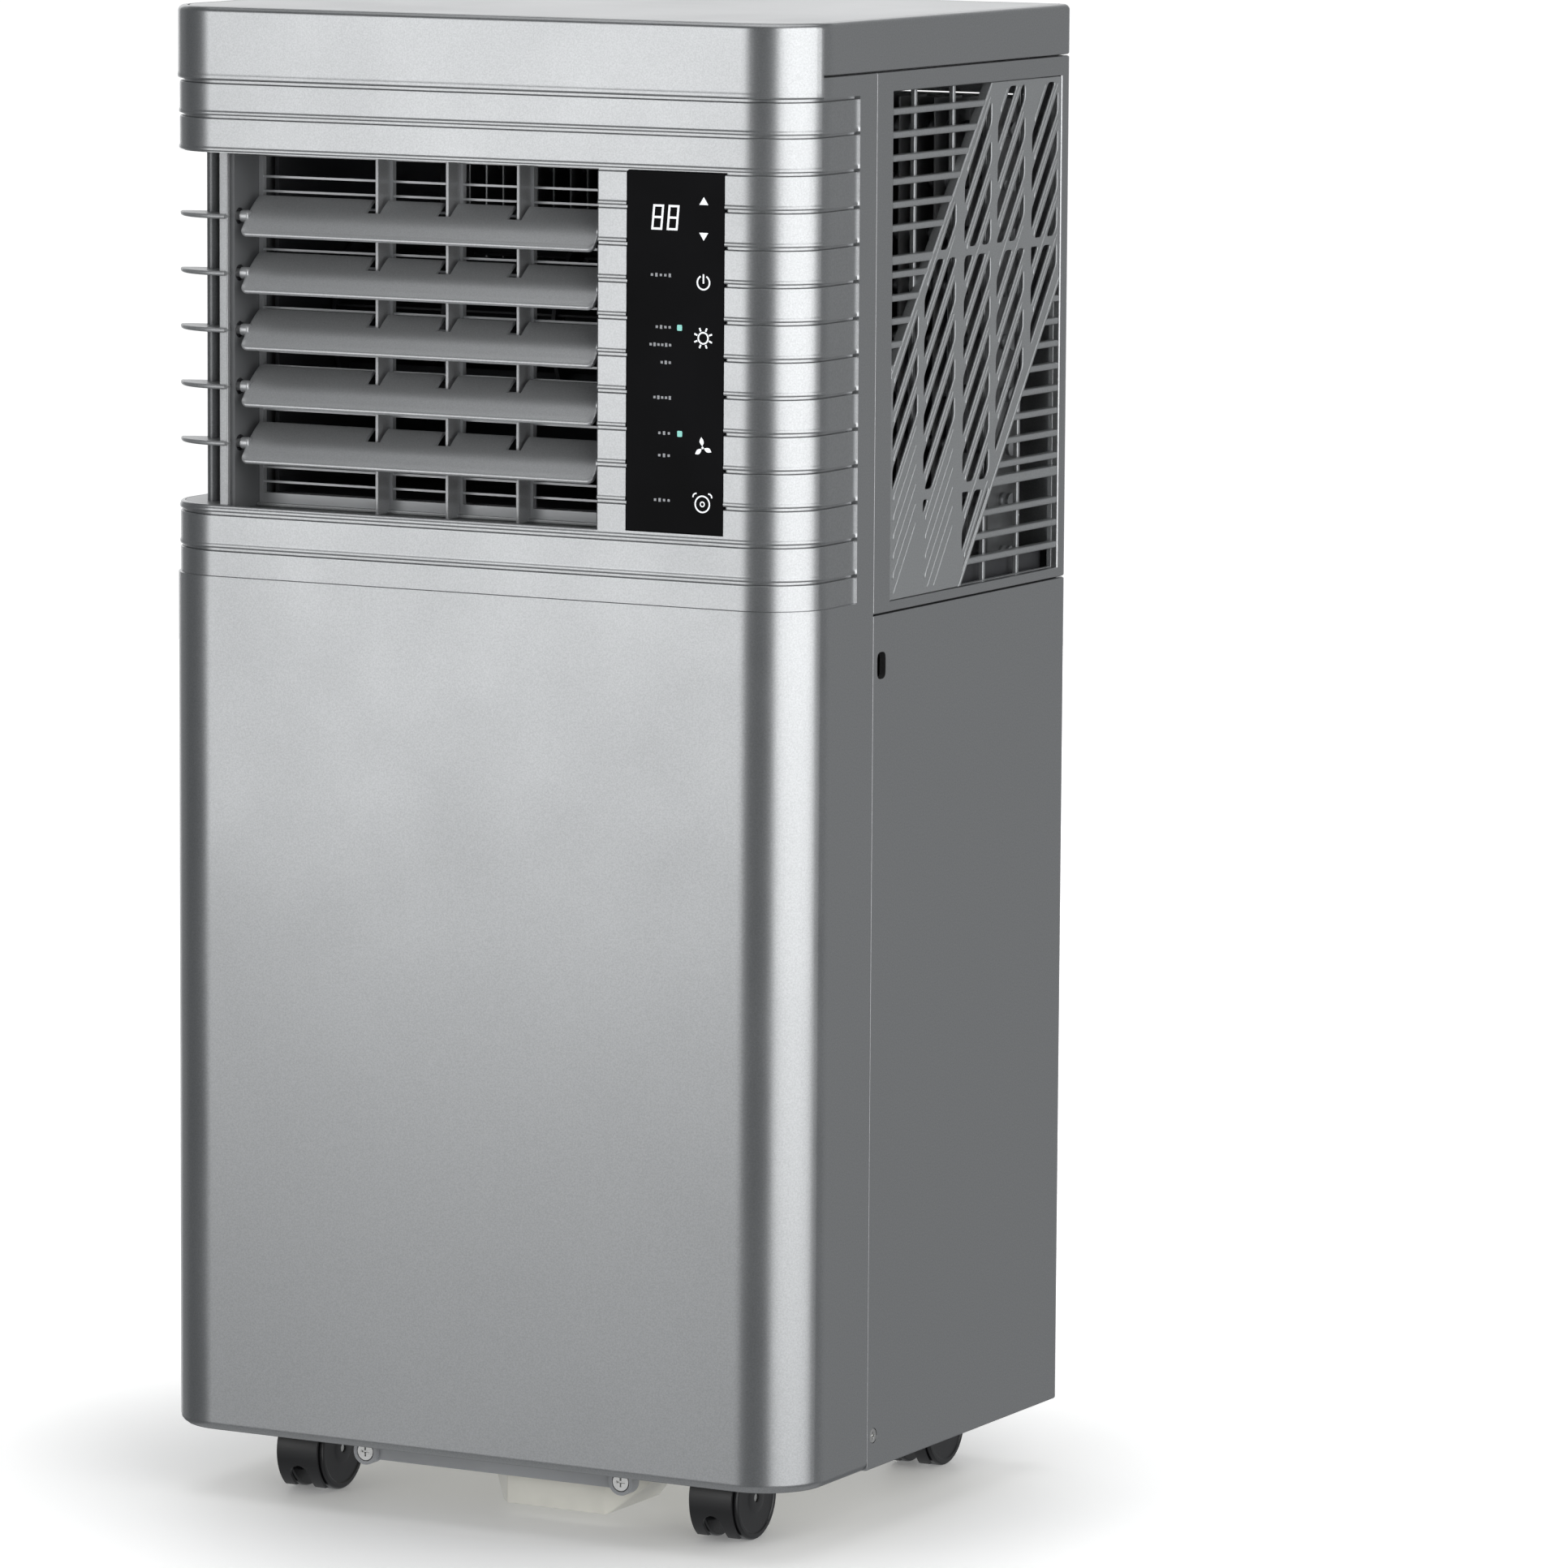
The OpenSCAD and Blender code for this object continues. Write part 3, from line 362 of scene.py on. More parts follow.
def clip_line(loop, point, normal):
    """Part of a convex outline on the side of a line that its normal points to."""
    out = []
    side = [(u - point[0]) * normal[0] + (v - point[1]) * normal[1] for u, v in loop]
    for i, (u, v) in enumerate(loop):
        j = (i + 1) % len(loop)
        if side[i] >= 0:
            out.append((u, v))
        if (side[i] >= 0) != (side[j] >= 0):
            t = side[i] / (side[i] - side[j])
            out.append((u + t * (loop[j][0] - u), v + t * (loop[j][1] - v)))
    return out


# ---- Casing outline ----

def outline_point(side, value, inset):
    """Point on the casing's outline, drawn in by inset.
    value is a coordinate, or a corner's share of its turn."""
    w, d = HALF_W - inset, HALF_D - inset
    if side == "left":
        return -w, value
    if side == "right":
        return w, value
    if side == "front":
        return value, -d
    if side == "back":
        return value, d
    r = max((FRONT_R if side[0] == "f" else BACK_R) - inset, 0.8)
    start = {"fl": 180, "fr": 270, "br": 0, "bl": 90}[side]
    turn = math.radians(start + 90 * value)
    x_sign = -1 if side[1] == "l" else 1
    y_sign = -1 if side[0] == "f" else 1
    return x_sign * (w - r) + r * math.cos(turn), y_sign * (d - r) + r * math.sin(turn)


def corner_columns(side, steps, at_y=()):
    """Columns round a corner, with extra ones where the outline passes the given Y values."""
    shares = [s / steps for s in range(1, steps)]
    for y in at_y:
        t = (-HALF_D + FRONT_R - y) / FRONT_R
        if 0 < t < 1:
            shares.append((math.acos(t) if side == "fr" else math.asin(t)) / (math.pi / 2))
    return [(side, s) for s in tidy_list(shares, 0.002)]


def edge_fall(distance, radius):
    """How far a surface falls back at a distance from a rounded edge."""
    if distance >= radius:
        return 0.0
    return radius - math.sqrt(max(radius ** 2 - (radius - max(distance, 0)) ** 2, 0))


def ladder(edge, direction, radius):
    """Coordinates that follow a rounded edge: the edge itself and steps away from it."""
    return [edge + direction * radius * s for s in (0, 0.06, 0.25, 0.55, 1)]


def span_distance(u, v, window):
    """Distance from a point to a rectangular window (u0, u1, v0, v1)."""
    u0, u1, v0, v1 = window
    return math.hypot(max(u0 - u, 0, u - u1), max(v0 - v, 0, v - v1))


def tidy_list(values, gap=0.02):
    out = []
    for v in sorted(values):
        if not out or v - out[-1] > gap:
            out.append(v)
    return out


def skin(name, columns, rows, outer, inner, keep, closed=False, lid=False):
    """Thick skin over a grid of columns and rows. keep gets a cell's middle and says whether it stays.
    closed joins the last column to the first, and lid fills the ring of the last row."""
    n, m = len(columns), len(rows)
    verts = [outer(c, r) for c in columns for r in rows] + [inner(c, r) for c in columns for r in rows]

    def index(side, i, j):
        return side * n * m + (i % n) * m + j

    cells = set()
    for i in range(n if closed else n - 1):
        for j in range(m - 1):
            mid = [verts[index(0, a, b)] for a in (i, i + 1) for b in (j, j + 1)]
            if keep([sum(p[k] for p in mid) / 4 for k in range(3)]):
                cells.add((i, j))
    faces = []
    for i, j in cells:
        ring = [(i, j), (i + 1, j), (i + 1, j + 1), (i, j + 1)]
        faces.append([index(0, *p) for p in ring])
        faces.append([index(1, *p) for p in reversed(ring)])
        for k, (di, dj) in enumerate([(0, -1), (1, 0), (0, 1), (-1, 0)]):
            near = ((i + di) % n if closed else i + di, j + dj)
            if near not in cells and not (lid and near[1] == m - 1):
                p, q = ring[k], ring[(k + 1) % 4]
                faces.append([index(0, *p), index(0, *q), index(1, *q), index(1, *p)])
    if lid:
        faces += [[index(side, i, m - 1) for i in range(n)] for side in (0, 1)]
    return new_object(name, to_mesh(name, verts, faces))


# ---- Materials ----

def material(name, base, rough, metallic=0.0):
    mat = bpy.data.materials.new(name)
    mat.use_nodes = True
    shader = mat.node_tree.nodes["Principled BSDF"]
    shader.inputs["Base Color"].default_value = (*base, 1)
    shader.inputs["Roughness"].default_value = rough
    shader.inputs["Metallic"].default_value = metallic
    mat.diffuse_color = (*base, 1)
    return mat, mat.node_tree, shader


def place_texture(tree):
    """Position on the object, in metres."""
    return tree.nodes.new("ShaderNodeTexCoord").outputs["Object"]


def noise(tree, scale, detail):
    node = tree.nodes.new("ShaderNodeTexNoise")
    node.inputs["Scale"].default_value = scale
    node.inputs["Detail"].default_value = detail
    tree.links.new(place_texture(tree), node.inputs["Vector"])
    return node.outputs["Fac"]


def spread(tree, source, low, high, to_low, to_high):
    node = tree.nodes.new("ShaderNodeMapRange")
    node.inputs["From Min"].default_value = low
    node.inputs["From Max"].default_value = high
    node.inputs["To Min"].default_value = to_low
    node.inputs["To Max"].default_value = to_high
    tree.links.new(source, node.inputs["Value"])
    return node.outputs["Result"]


def shades(tree, shader, source, dark, light, low=0.35, high=0.65):
    """Base colour that drifts between two shades."""
    ramp = tree.nodes.new("ShaderNodeValToRGB")
    ramp.color_ramp.elements[0].position = low
    ramp.color_ramp.elements[0].color = (*dark, 1)
    ramp.color_ramp.elements[1].position = high
    ramp.color_ramp.elements[1].color = (*light, 1)
    tree.links.new(source, ramp.inputs["Fac"])
    tree.links.new(ramp.outputs["Color"], shader.inputs["Base Color"])


def bump(tree, shader, source, strength, distance):
    node = tree.nodes.new("ShaderNodeBump")
    node.inputs["Strength"].default_value = strength
    node.inputs["Distance"].default_value = distance
    tree.links.new(source, node.inputs["Height"])
    tree.links.new(node.outputs["Normal"], shader.inputs["Normal"])


def scaled(colour, factor):
    return [min(c * factor, 1) for c in colour]


def metallic_paint(name, colour, metallic, rough, sparkle=0.09):
    """Paint with fine metal flakes: tiny light and dark grains, and a faint orange peel."""
    mat, tree, shader = material(name, colour, rough, metallic)
    grain = noise(tree, 1500, 1.0)
    shades(tree, shader, grain, scaled(colour, 1 - sparkle), scaled(colour, 1 + sparkle), 0.3, 0.7)
    cloud = noise(tree, 14, 3.0)
    tree.links.new(spread(tree, cloud, 0.3, 0.7, rough - 0.025, rough + 0.025), shader.inputs["Roughness"])
    bump(tree, shader, noise(tree, 2600, 2.0), 0.05, 0.0002)
    shader.inputs["Specular IOR Level"].default_value = 0.5
    return mat


def moulded(name, colour, rough=0.5, grain=900, strength=0.12, drift=0.06, metallic=0.0):
    """Moulded plastic with a fine spark-eroded grain and slightly uneven colour."""
    mat, tree, shader = material(name, colour, rough, metallic)
    shades(tree, shader, noise(tree, 30, 4.0), scaled(colour, 1 - drift), scaled(colour, 1 + drift))
    tree.links.new(spread(tree, noise(tree, 60, 3.0), 0.3, 0.7, rough - 0.04, rough + 0.04),
                   shader.inputs["Roughness"])
    bump(tree, shader, noise(tree, grain, 2.0), strength, 0.0002)
    return mat


def glass_black(name):
    """Polished black plate, with the faintest haze of handling."""
    mat, tree, shader = material(name, (0.004, 0.004, 0.005), 0.05)
    shades(tree, shader, noise(tree, 25, 3.0), (0.003, 0.003, 0.0035), (0.005, 0.005, 0.006))
    tree.links.new(spread(tree, noise(tree, 40, 4.0), 0.3, 0.7, 0.035, 0.07), shader.inputs["Roughness"])
    shader.inputs["Specular IOR Level"].default_value = 0.03
    return mat


def printed(name, colour, glow=0.0):
    """Ink or light seen through the black plate."""
    mat, tree, shader = material(name, colour, 0.4)
    shades(tree, shader, noise(tree, 1200, 2.0), scaled(colour, 0.9), scaled(colour, 1.0))
    shader.inputs["Emission Color"].default_value = (*colour, 1)
    shader.inputs["Emission Strength"].default_value = glow
    return mat


def metal(name, colour, rough, drift=0.1):
    """Bare metal with drawn or rolled streaks."""
    mat, tree, shader = material(name, colour, rough, 1.0)
    streak = noise(tree, 260, 3.0)
    shades(tree, shader, streak, scaled(colour, 1 - drift), scaled(colour, 1 + drift))
    tree.links.new(spread(tree, streak, 0.3, 0.7, rough - 0.06, rough + 0.06), shader.inputs["Roughness"])
    bump(tree, shader, streak, 0.08, 0.0001)
    return mat


def fin_stock(name, colour):
    """Coil face: stacked thin fins, drawn as fine upright lines in its bump and colour, with painted shade
    darkening the gaps between the fins.
    """
    mat, tree, shader = material(name, colour, 0.4, 0.9)
    wave = tree.nodes.new("ShaderNodeTexWave")
    wave.bands_direction = "X"
    wave.inputs["Scale"].default_value = 90
    wave.inputs["Distortion"].default_value = 0.3
    tree.links.new(place_texture(tree), wave.inputs["Vector"])
    # painted shade: the colour falls to 0.45 of the fin colour in the gaps between the fins
    shades(tree, shader, wave.outputs["Fac"], scaled(colour, 0.45), colour, 0.2, 0.6)
    bump(tree, shader, wave.outputs["Fac"], 0.5, 0.0005)
    return mat


def woven(name, colour):
    """Fine square mesh of nylon threads."""
    mat, tree, shader = material(name, colour, 0.7)
    total = tree.nodes.new("ShaderNodeMath")
    total.operation = "MAXIMUM"
    for i, way in enumerate(("X", "Z")):
        wave = tree.nodes.new("ShaderNodeTexWave")
        wave.bands_direction = way
        wave.inputs["Scale"].default_value = 260
        tree.links.new(place_texture(tree), wave.inputs["Vector"])
        tree.links.new(wave.outputs["Fac"], total.inputs[i])
    shades(tree, shader, total.outputs["Value"], scaled(colour, 0.3), scaled(colour, 1.6), 0.4, 0.9)
    bump(tree, shader, total.outputs["Value"], 0.6, 0.0003)
    return mat


PAINT = metallic_paint("case_paint", (0.40, 0.4075, 0.414), 0.95, 0.3)
GRILLE_PAINT = metallic_paint("grille_paint", (0.36, 0.37, 0.376), 0.7, 0.38)
TRIM_PAINT = metallic_paint("trim_paint", (0.40, 0.407, 0.413), 0.5, 0.35)
LOUVRE_GREY = metallic_paint("louvre_grey", (0.5, 0.508, 0.516), 0.6, 0.32, 0.07)
# Painted shade: a darker copy of the trim paint for the round corner post, standing for the shade deep in the
# open corner
POST_SHADE_PAINT = metallic_paint("painted_shade_post", (0.20, 0.205, 0.21), 0.5, 0.35)
RECESS_GREY = moulded("recess_grey", (0.13, 0.134, 0.138), 0.5)
GUARD_GREY = moulded("guard_grey", (0.5, 0.51, 0.52), 0.4, metallic=0.4)
BLACK_GLASS = glass_black("black_glass")
SIGN_WHITE = printed("sign_white", (0.86, 0.88, 0.9), 0.55)
SIGN_GREY = printed("sign_grey", (0.42, 0.43, 0.45), 0.1)
LED_TEAL = printed("led_teal", (0.25, 0.62, 0.55), 0.5)
CHARCOAL = moulded("charcoal_plastic", (0.035, 0.036, 0.039), 0.48)
SATIN_BLACK = moulded("satin_black", (0.012, 0.012, 0.013), 0.36, 700, 0.08)
WHEEL_BLACK = moulded("wheel_black", (0.008, 0.008, 0.009), 0.3, 700, 0.06)
RUBBER = moulded("black_rubber", (0.02, 0.02, 0.02), 0.75, 500, 0.3)
CREAM = moulded("cream_plastic", (0.9, 0.88, 0.79), 0.42)
RAIL_GREY = moulded("rail_grey", (0.40, 0.41, 0.425), 0.45)
WHITE_PLASTIC = moulded("white_plastic", (0.7, 0.7, 0.66), 0.45)
STEEL = metal("screw_steel", (0.62, 0.62, 0.61), 0.28)
MOTOR_STEEL = metal("motor_steel", (0.45, 0.45, 0.46), 0.4)
GALVANISED = metal("galvanised", (0.5, 0.51, 0.52), 0.45, drift=0.2)
COPPER = metal("copper", (0.72, 0.38, 0.24), 0.32)
ALUMINIUM = fin_stock("coil_fins", (0.55, 0.56, 0.57))
COMPRESSOR_BLACK = moulded("compressor_black", (0.02, 0.02, 0.021), 0.4, 300, 0.25)
GREEN_BOARD = moulded("circuit_green", (0.02, 0.16, 0.07), 0.4, 400, 0.2)
MESH_CLOTH = woven("filter_mesh", (0.05, 0.055, 0.06))


# ---- Casing pieces ----

def band_inset(z):
    """How far the band lies inside the casing at a height: grooves, and a bead on each lower edge."""
    bead, bead_h, shoulder = 0.4, 2.6, 0.7
    for k in range(-1, GROOVE_COUNT):
        d = z - groove_z(k)
        if abs(d) < GROOVE_W / 2:
            return THIN_WALL
        if GROOVE_W / 2 <= d < GROOVE_W / 2 + bead_h:
            t = (d - GROOVE_W / 2) / bead_h
            return BAND - bead * math.sin(math.pi * min(t * 1.1 + 0.1, 1)) + edge_fall(t, 0.15)
        if -GROOVE_W / 2 - shoulder < d <= -GROOVE_W / 2:
            return BAND + edge_fall(-GROOVE_W / 2 - d, shoulder)
    return BAND


def groove_rows():
    half = GROOVE_W / 2
    rows = []
    for k in range(-1, GROOVE_COUNT):
        z = groove_z(k)
        rows += [z - half - s for s in (1.3, 0.9, 0.6, 0.35, 0.15, 0.03, 0)]
        rows += [z - half + 0.04, z + half - 0.04, z + half]
        rows += [z + half + s for s in (0.08, 0.3, 0.7, 1.1, 1.5, 1.9, 2.3, 2.7, 3.2)]
    return rows


def front_shell():
    edge = WINDOW_EDGE
    right_y = ladder(SEAM_Y, -1, SEAM_EDGE) + [POCKET_Y + 0.3, POCKET_Y - 0.3, -HALF_D + FRONT_R]
    left_y = right_y + ladder(NICHE_Y, 1, edge) + [NICHE_Y - 4]
    front_x = [-HALF_W + FRONT_R, HALF_W - FRONT_R] + [-100 + 40 * i for i in range(5)]
    front_x += ladder(OUTLET_RIGHT, 1, edge) + [panel_low[0] - PANEL_GAP - s for s in (0, 0.1, 0.4)]
    front_x += [panel_high[0] + PANEL_GAP + s for s in (0, 0.1, 0.4)]
    columns = [("left", y) for y in reversed(tidy_list(left_y))]
    columns += corner_columns("fl", CORNER_STEPS, [COVER_STEP_Y])
    columns += [("front", x) for x in tidy_list(front_x)] + corner_columns("fr", CORNER_STEPS, [COVER_STEP_Y])
    columns += [("right", y) for y in tidy_list(right_y)]
    top = COVER_FRONT_Z - 0.02
    side_top = COVER_SIDE_Z - SEAM
    rows = ladder(SHELL_Z0, 1, FOOT_EDGE) + [SHELL_Z0 + 60 * i for i in range(1, 7)]
    rows += [BAND_Z0 - 0.6, BAND_Z0 - 0.3, BAND_Z0, BAND_Z0 + 0.2] + groove_rows()
    rows += [top] + ladder(side_top, -1, RIM_EDGE)
    rows += ladder(OUTLET_Z0, -1, edge) + ladder(OUTLET_Z1, 1, edge)
    rows = tidy_list(rows, 0.015)

    def outer(column, z):
        x, y = outline_point(*column, 0)
        inset = 0.0
        if y < POCKET_Y and BAND_Z0 - 0.1 < z < COVER_FRONT_Z + 0.02:
            inset = band_inset(z)
        inset += edge_fall(z - SHELL_Z0, FOOT_EDGE) + edge_fall(SEAM_Y - y, SEAM_EDGE)
        inset += edge_fall(side_top - z, RIM_EDGE)
        if OUTLET_Z0 - edge < z < OUTLET_Z1 + edge:
            along = span_distance(x, z, (-HALF_W - 1, OUTLET_RIGHT, OUTLET_Z0, OUTLET_Z1))
            if column[0] == "left":
                along = span_distance(y, z, (-HALF_D, NICHE_Y, OUTLET_Z0, OUTLET_Z1))
            if column[0] in ("left", "front", "fl"):
                inset += edge_fall(along, edge)
        x, y = outline_point(*column, min(inset, THIN_WALL))
        return x, y, z

    def inner(column, z):
        return (*outline_point(*column, WALL), z)

    def keep(mid):
        x, y, z = mid
        if z > top - 0.01 and y < COVER_STEP_Y:
            return False
        if OUTLET_Z0 < z < OUTLET_Z1:
            if x < OUTLET_RIGHT and y < NICHE_Y:
                return False
            if y < -HALF_D + 5 and panel_low[0] - PANEL_GAP < x < panel_high[0] + PANEL_GAP:
                return False
        return True

    obj = skin("front_casing", columns, rows, outer, inner, keep)
    return dress(obj, PAINT, "chassis", ["front_shell"], 38)


def full_outline(extra_y):
    """Columns right round the casing, anticlockwise from the back left."""
    straight = HALF_D - BACK_R
    knee = -HALF_D + FRONT_R
    columns = [("left", y) for y in sorted([straight, knee] + [y for y in extra_y if y > knee], reverse=True)]
    columns += corner_columns("fl", CORNER_STEPS, extra_y)
    columns += [("front", x) for x in (-HALF_W + FRONT_R, -60, 0, 60, HALF_W - FRONT_R)]
    columns += corner_columns("fr", CORNER_STEPS, extra_y)
    columns += [("right", y) for y in sorted([knee, straight] + [y for y in extra_y if y > knee])]
    columns += corner_columns("br", BACK_CORNER_STEPS)
    columns += [("back", x) for x in (HALF_W - BACK_R, 60, 0, -60, -HALF_W + BACK_R)]
    columns += corner_columns("bl", BACK_CORNER_STEPS)
    return columns


def top_cover():
    rim = 2.6
    steps = (COVER_STEP_Y, COVER_STEP_Y - 1, COVER_STEP_Y - 4, COVER_STEP_Y - 9, SEAM_Y, REAR_START_Y)
    columns = full_outline(steps)
    low = COVER_FRONT_Z
    profile = []
    for z in tidy_list(ladder(low, 1, 0.8) + [low + s for s in (1.2, 1.8, 2.4, 3.0, 3.6)]
                       + ladder(COVER_SIDE_Z, 1, 0.9) + [COVER_SIDE_Z + 3, SHELL_Z1 - rim]):
        profile.append((0.0, z, z))
    for s in range(1, 9):
        turn = math.pi / 2 * s / 8
        profile.append((rim * (1 - math.cos(turn)), SHELL_Z1 - rim * (1 - math.sin(turn)), SHELL_Z1 - WALL))
    line = rim + 1.6
    for inset, z in ((line - 0.15, SHELL_Z1), (line, SHELL_Z1 - 0.12), (line + 0.05, SHELL_Z1 - 0.8),
                     (line + 0.95, SHELL_Z1 - 0.8), (line + 1, SHELL_Z1 - 0.12), (line + 1.2, SHELL_Z1)):
        profile.append((inset, z, SHELL_Z1 - WALL))

    def outer(column, row):
        inset, z, _ = row
        x, y = outline_point(*column, 0)
        lift = 0.35 * min(max((COVER_STEP_Y - 1 - y) / 8, 0), 1)
        if y > COVER_STEP_Y + 0.01:
            fall = edge_fall(z - COVER_SIDE_Z, 0.9) if z >= COVER_SIDE_Z - 0.01 else 0
        else:
            fall = edge_fall(z - low, 0.8)
            t = (z - low) / 3.6
            if t < 1:
                fall -= lift * math.sin(math.pi * min(t * 1.1 + 0.1, 1))
        return (*outline_point(*column, lift + inset + fall), z)

    def inner(column, row):
        inset, _, z = row
        return (*outline_point(*column, WALL + inset * 0.8), z)

    def keep(mid):
        return mid[2] > COVER_SIDE_Z or mid[1] < COVER_STEP_Y

    obj = skin("top_casing", columns, profile, outer, inner, keep, closed=True, lid=True)
    return dress(obj, PAINT, "chassis", ["top_cover"], 38)


def rear_casing(name, node, z0, z1, side_windows, back_windows, cutters):
    """Back half of the casing between two heights, with square windows and cut holes."""
    start = REAR_START_Y
    side_y = ladder(start, 1, SEAM_EDGE) + [HALF_D - BACK_R]
    back_x = [-HALF_W + BACK_R, HALF_W - BACK_R]
    rows = ladder(z0, 1, RIM_EDGE) + ladder(z1, -1, RIM_EDGE) + [z0 + (z1 - z0) * s / 5 for s in range(1, 5)]
    for windows, across in ((side_windows, side_y), (back_windows, back_x)):
        for w in windows:
            across += ladder(w[0], -1, WINDOW_EDGE) + ladder(w[1], 1, WINDOW_EDGE)
            rows += ladder(w[2], -1, WINDOW_EDGE) + ladder(w[3], 1, WINDOW_EDGE)
    columns = [("right", y) for y in tidy_list(side_y)] + corner_columns("br", 12)
    columns += [("back", x) for x in reversed(tidy_list(back_x))]
    columns += corner_columns("bl", 12)
    columns += [("left", y) for y in reversed(tidy_list(side_y))]
    rows = tidy_list([z for z in rows if z0 <= z <= z1])

    def outer(column, z):
        x, y = outline_point(*column, 0)
        inset = edge_fall(z - z0, RIM_EDGE) + edge_fall(z1 - z, RIM_EDGE) + edge_fall(y - start, SEAM_EDGE)
        if column[0] in ("left", "right"):
            for w in side_windows:
                inset += edge_fall(span_distance(y, z, w), WINDOW_EDGE)
        if column[0] == "back":
            for w in back_windows:
                inset += edge_fall(span_distance(x, z, w), WINDOW_EDGE)
        return (*outline_point(*column, min(inset, THIN_WALL)), z)

    def inner(column, z):
        return (*outline_point(*column, WALL), z)

    def keep(mid):
        x, y, z = mid
        for w in side_windows:
            if abs(x) > HALF_W - 4 and w[0] < y < w[1] and w[2] < z < w[3]:
                return False
        for w in back_windows:
            if y > HALF_D - 4 and w[0] < x < w[1] and w[2] < z < w[3]:
                return False
        return True

    obj = skin(name, columns, rows, outer, inner, keep)
    cut(obj, cutters)
    return dress(obj, PAINT, "chassis", [node], 38)


def drill(x, z, radius):
    """Cutter through the back wall, with a rounded mouth."""
    y0, y1 = HALF_D - 6, HALF_D + 2
    profile = [(0, y0), (radius, y0), (radius, HALF_D - 0.6), (radius + 0.6, HALF_D),
               (radius + 0.6, y1), (0, y1)]
    return lathe("drill", profile, (x, 0, z), "y", 64)


def window_round(node, x_gap, z_gap):
    """Window in the back wall round a piece: both ends along X, then both heights."""
    low, high = box_mm(node)
    return low[0] - x_gap, high[0] + x_gap, low[2] - z_gap, high[2] + z_gap


def rear_shells():
    drain_r, gland_r, sink_r = 8.5, 9, 3.4
    notch_y, notch_w, notch_h = -57, 8, 12
    notch_z = SHELL_Z0 + 353
    drain, low_drain = centre_mm("drain_plug_upper"), centre_mm("drain_plug_lower")
    port, gland, screw = (centre_mm(node) for node in ("exhaust_collar", "cord_gland", "case_screws"))
    port_r = box_mm("exhaust_collar")[1][0] - port[0] + 0.3
    rear_casing("rear_casing_upper", "rear_shell_upper", SIDE_SEAM_Z, COVER_SIDE_Z - SEAM,
                [(GRILLE_Y0, GRILLE_Y1, GRILLE_Z0, GRILLE_Z1)], [window_round("filter_cover", 0.4, 0.6)],
                [drill(drain[0], drain[2], drain_r)])
    cutters = [drill(drain[0], low_drain[2], drain_r), drill(port[0], port[2], port_r),
               drill(gland[0], gland[2], gland_r)]
    notch = rect(notch_y, notch_z, notch_y + notch_w, notch_z + notch_h, 3.2)
    sink = [(0, -2.5), (sink_r, -2.5), (sink_r, 1), (0, 1)]
    for side in (-1, 1):
        cutters.append(lathe("sink", sink, (side * (HALF_W - 0.2), screw[1], screw[2]), "x", 40))
        cutters.append(plate("notch", [notch], 8, 0.1, lambda u, v, w, s=side: (s * (HALF_W - 6 + w), u, v)))
    rear_casing("rear_casing_lower", "rear_shell_lower", SHELL_Z0, LOWER_TOP_Z, [],
                [window_round("intake_grille", 0.2, 0.2)], cutters)


# ---- Side grilles ----

SLOT_ANGLE = math.radians(54.5)
SLOT_W = 5.6
SLOT_PITCH = 17.2
TIE_BARS = ((42, 46.5), (147.5, 151.5))
# Each column of slots: both ends along Y, the lowest slot's middle above the opening, how many,
# and how many blind
SLOT_COLUMNS = ((-45, -19, 67.5, 3, 3), (-13, 16.5, 60.7, 6, 3), (25, 50.5, 20.5, 11, 0),
                (57, 83.5, 80.5, 9, 0), (91, 118.5, 127, 6, 0))
UPPER_EDGE = ((-45, 100), (50, 223.5))
LOWER_EDGE = ((24, 1), (119, 130))
LEVEL_START = 10.5
LEVEL_PITCH = 10.2
SLAT_HALF = 1.5
FIELD_T = 1.2
SPINE_W = 1.5
FIELD_GAP = 0.2
WEB_Y = (-16, 20.8, 53.8, 87.2)


def edge_normal(edge, upward):
    (u0, v0), (u1, v1) = edge
    length = math.hypot(u1 - u0, v1 - v0)
    n = (-(v1 - v0) / length, (u1 - u0) / length)
    return n if upward else (-n[0], -n[1])


def shifted(edge, n, by):
    """The start of an edge, moved along the edge's normal."""
    return edge[0][0] + n[0] * by, edge[0][1] + n[1] * by


def on_grille(points):
    return [(u, v + GRILLE_Z0) for u, v in points]


def field(inset=0.0):
    """Slanted field of the grille, drawn in by inset, in Y and height above the opening."""
    gap = FIELD_GAP
    loop = rect(GRILLE_Y0 + gap + inset, gap + inset,
                GRILLE_Y1 - gap - inset, GRILLE_Z1 - GRILLE_Z0 - gap - inset)
    for edge, upward in ((UPPER_EDGE, False), (LOWER_EDGE, True)):
        n = edge_normal(edge, upward)
        loop = clip_line(loop, shifted(edge, n, inset), n)
    return loop


def slot_loop(y0, y1, middle, width):
    """Slot between two upright lines, with its two sides at the slot angle."""
    rise = math.tan(SLOT_ANGLE) * (y1 - y0) / 2
    half = width / math.cos(SLOT_ANGLE) / 2
    return [(y0, middle - rise - half), (y1, middle + rise - half), (y1, middle + rise + half),
            (y0, middle - rise + half)]


def trim_to_field(loop, inset):
    limit = field(inset)
    for i, point in enumerate(limit):
        nxt = limit[(i + 1) % len(limit)]
        if math.hypot(nxt[0] - point[0], nxt[1] - point[1]) > 0.01 and len(loop) > 2:
            loop = clip_line(loop, point, edge_normal((point, nxt), True))
    return loop


def split_by_bars(loop):
    pieces = [loop]
    for low, high in TIE_BARS:
        pieces = [part for p in pieces for part in
                  (clip_line(p, (0, low), (0, -1)), clip_line(p, (0, high), (0, 1)))]
    return pieces


def area(loop):
    return sum(loop[i - 1][0] * p[1] - p[0] * loop[i - 1][1] for i, p in enumerate(loop)) / 2


def large(loop, least):
    return len(loop) > 2 and area(loop) > least


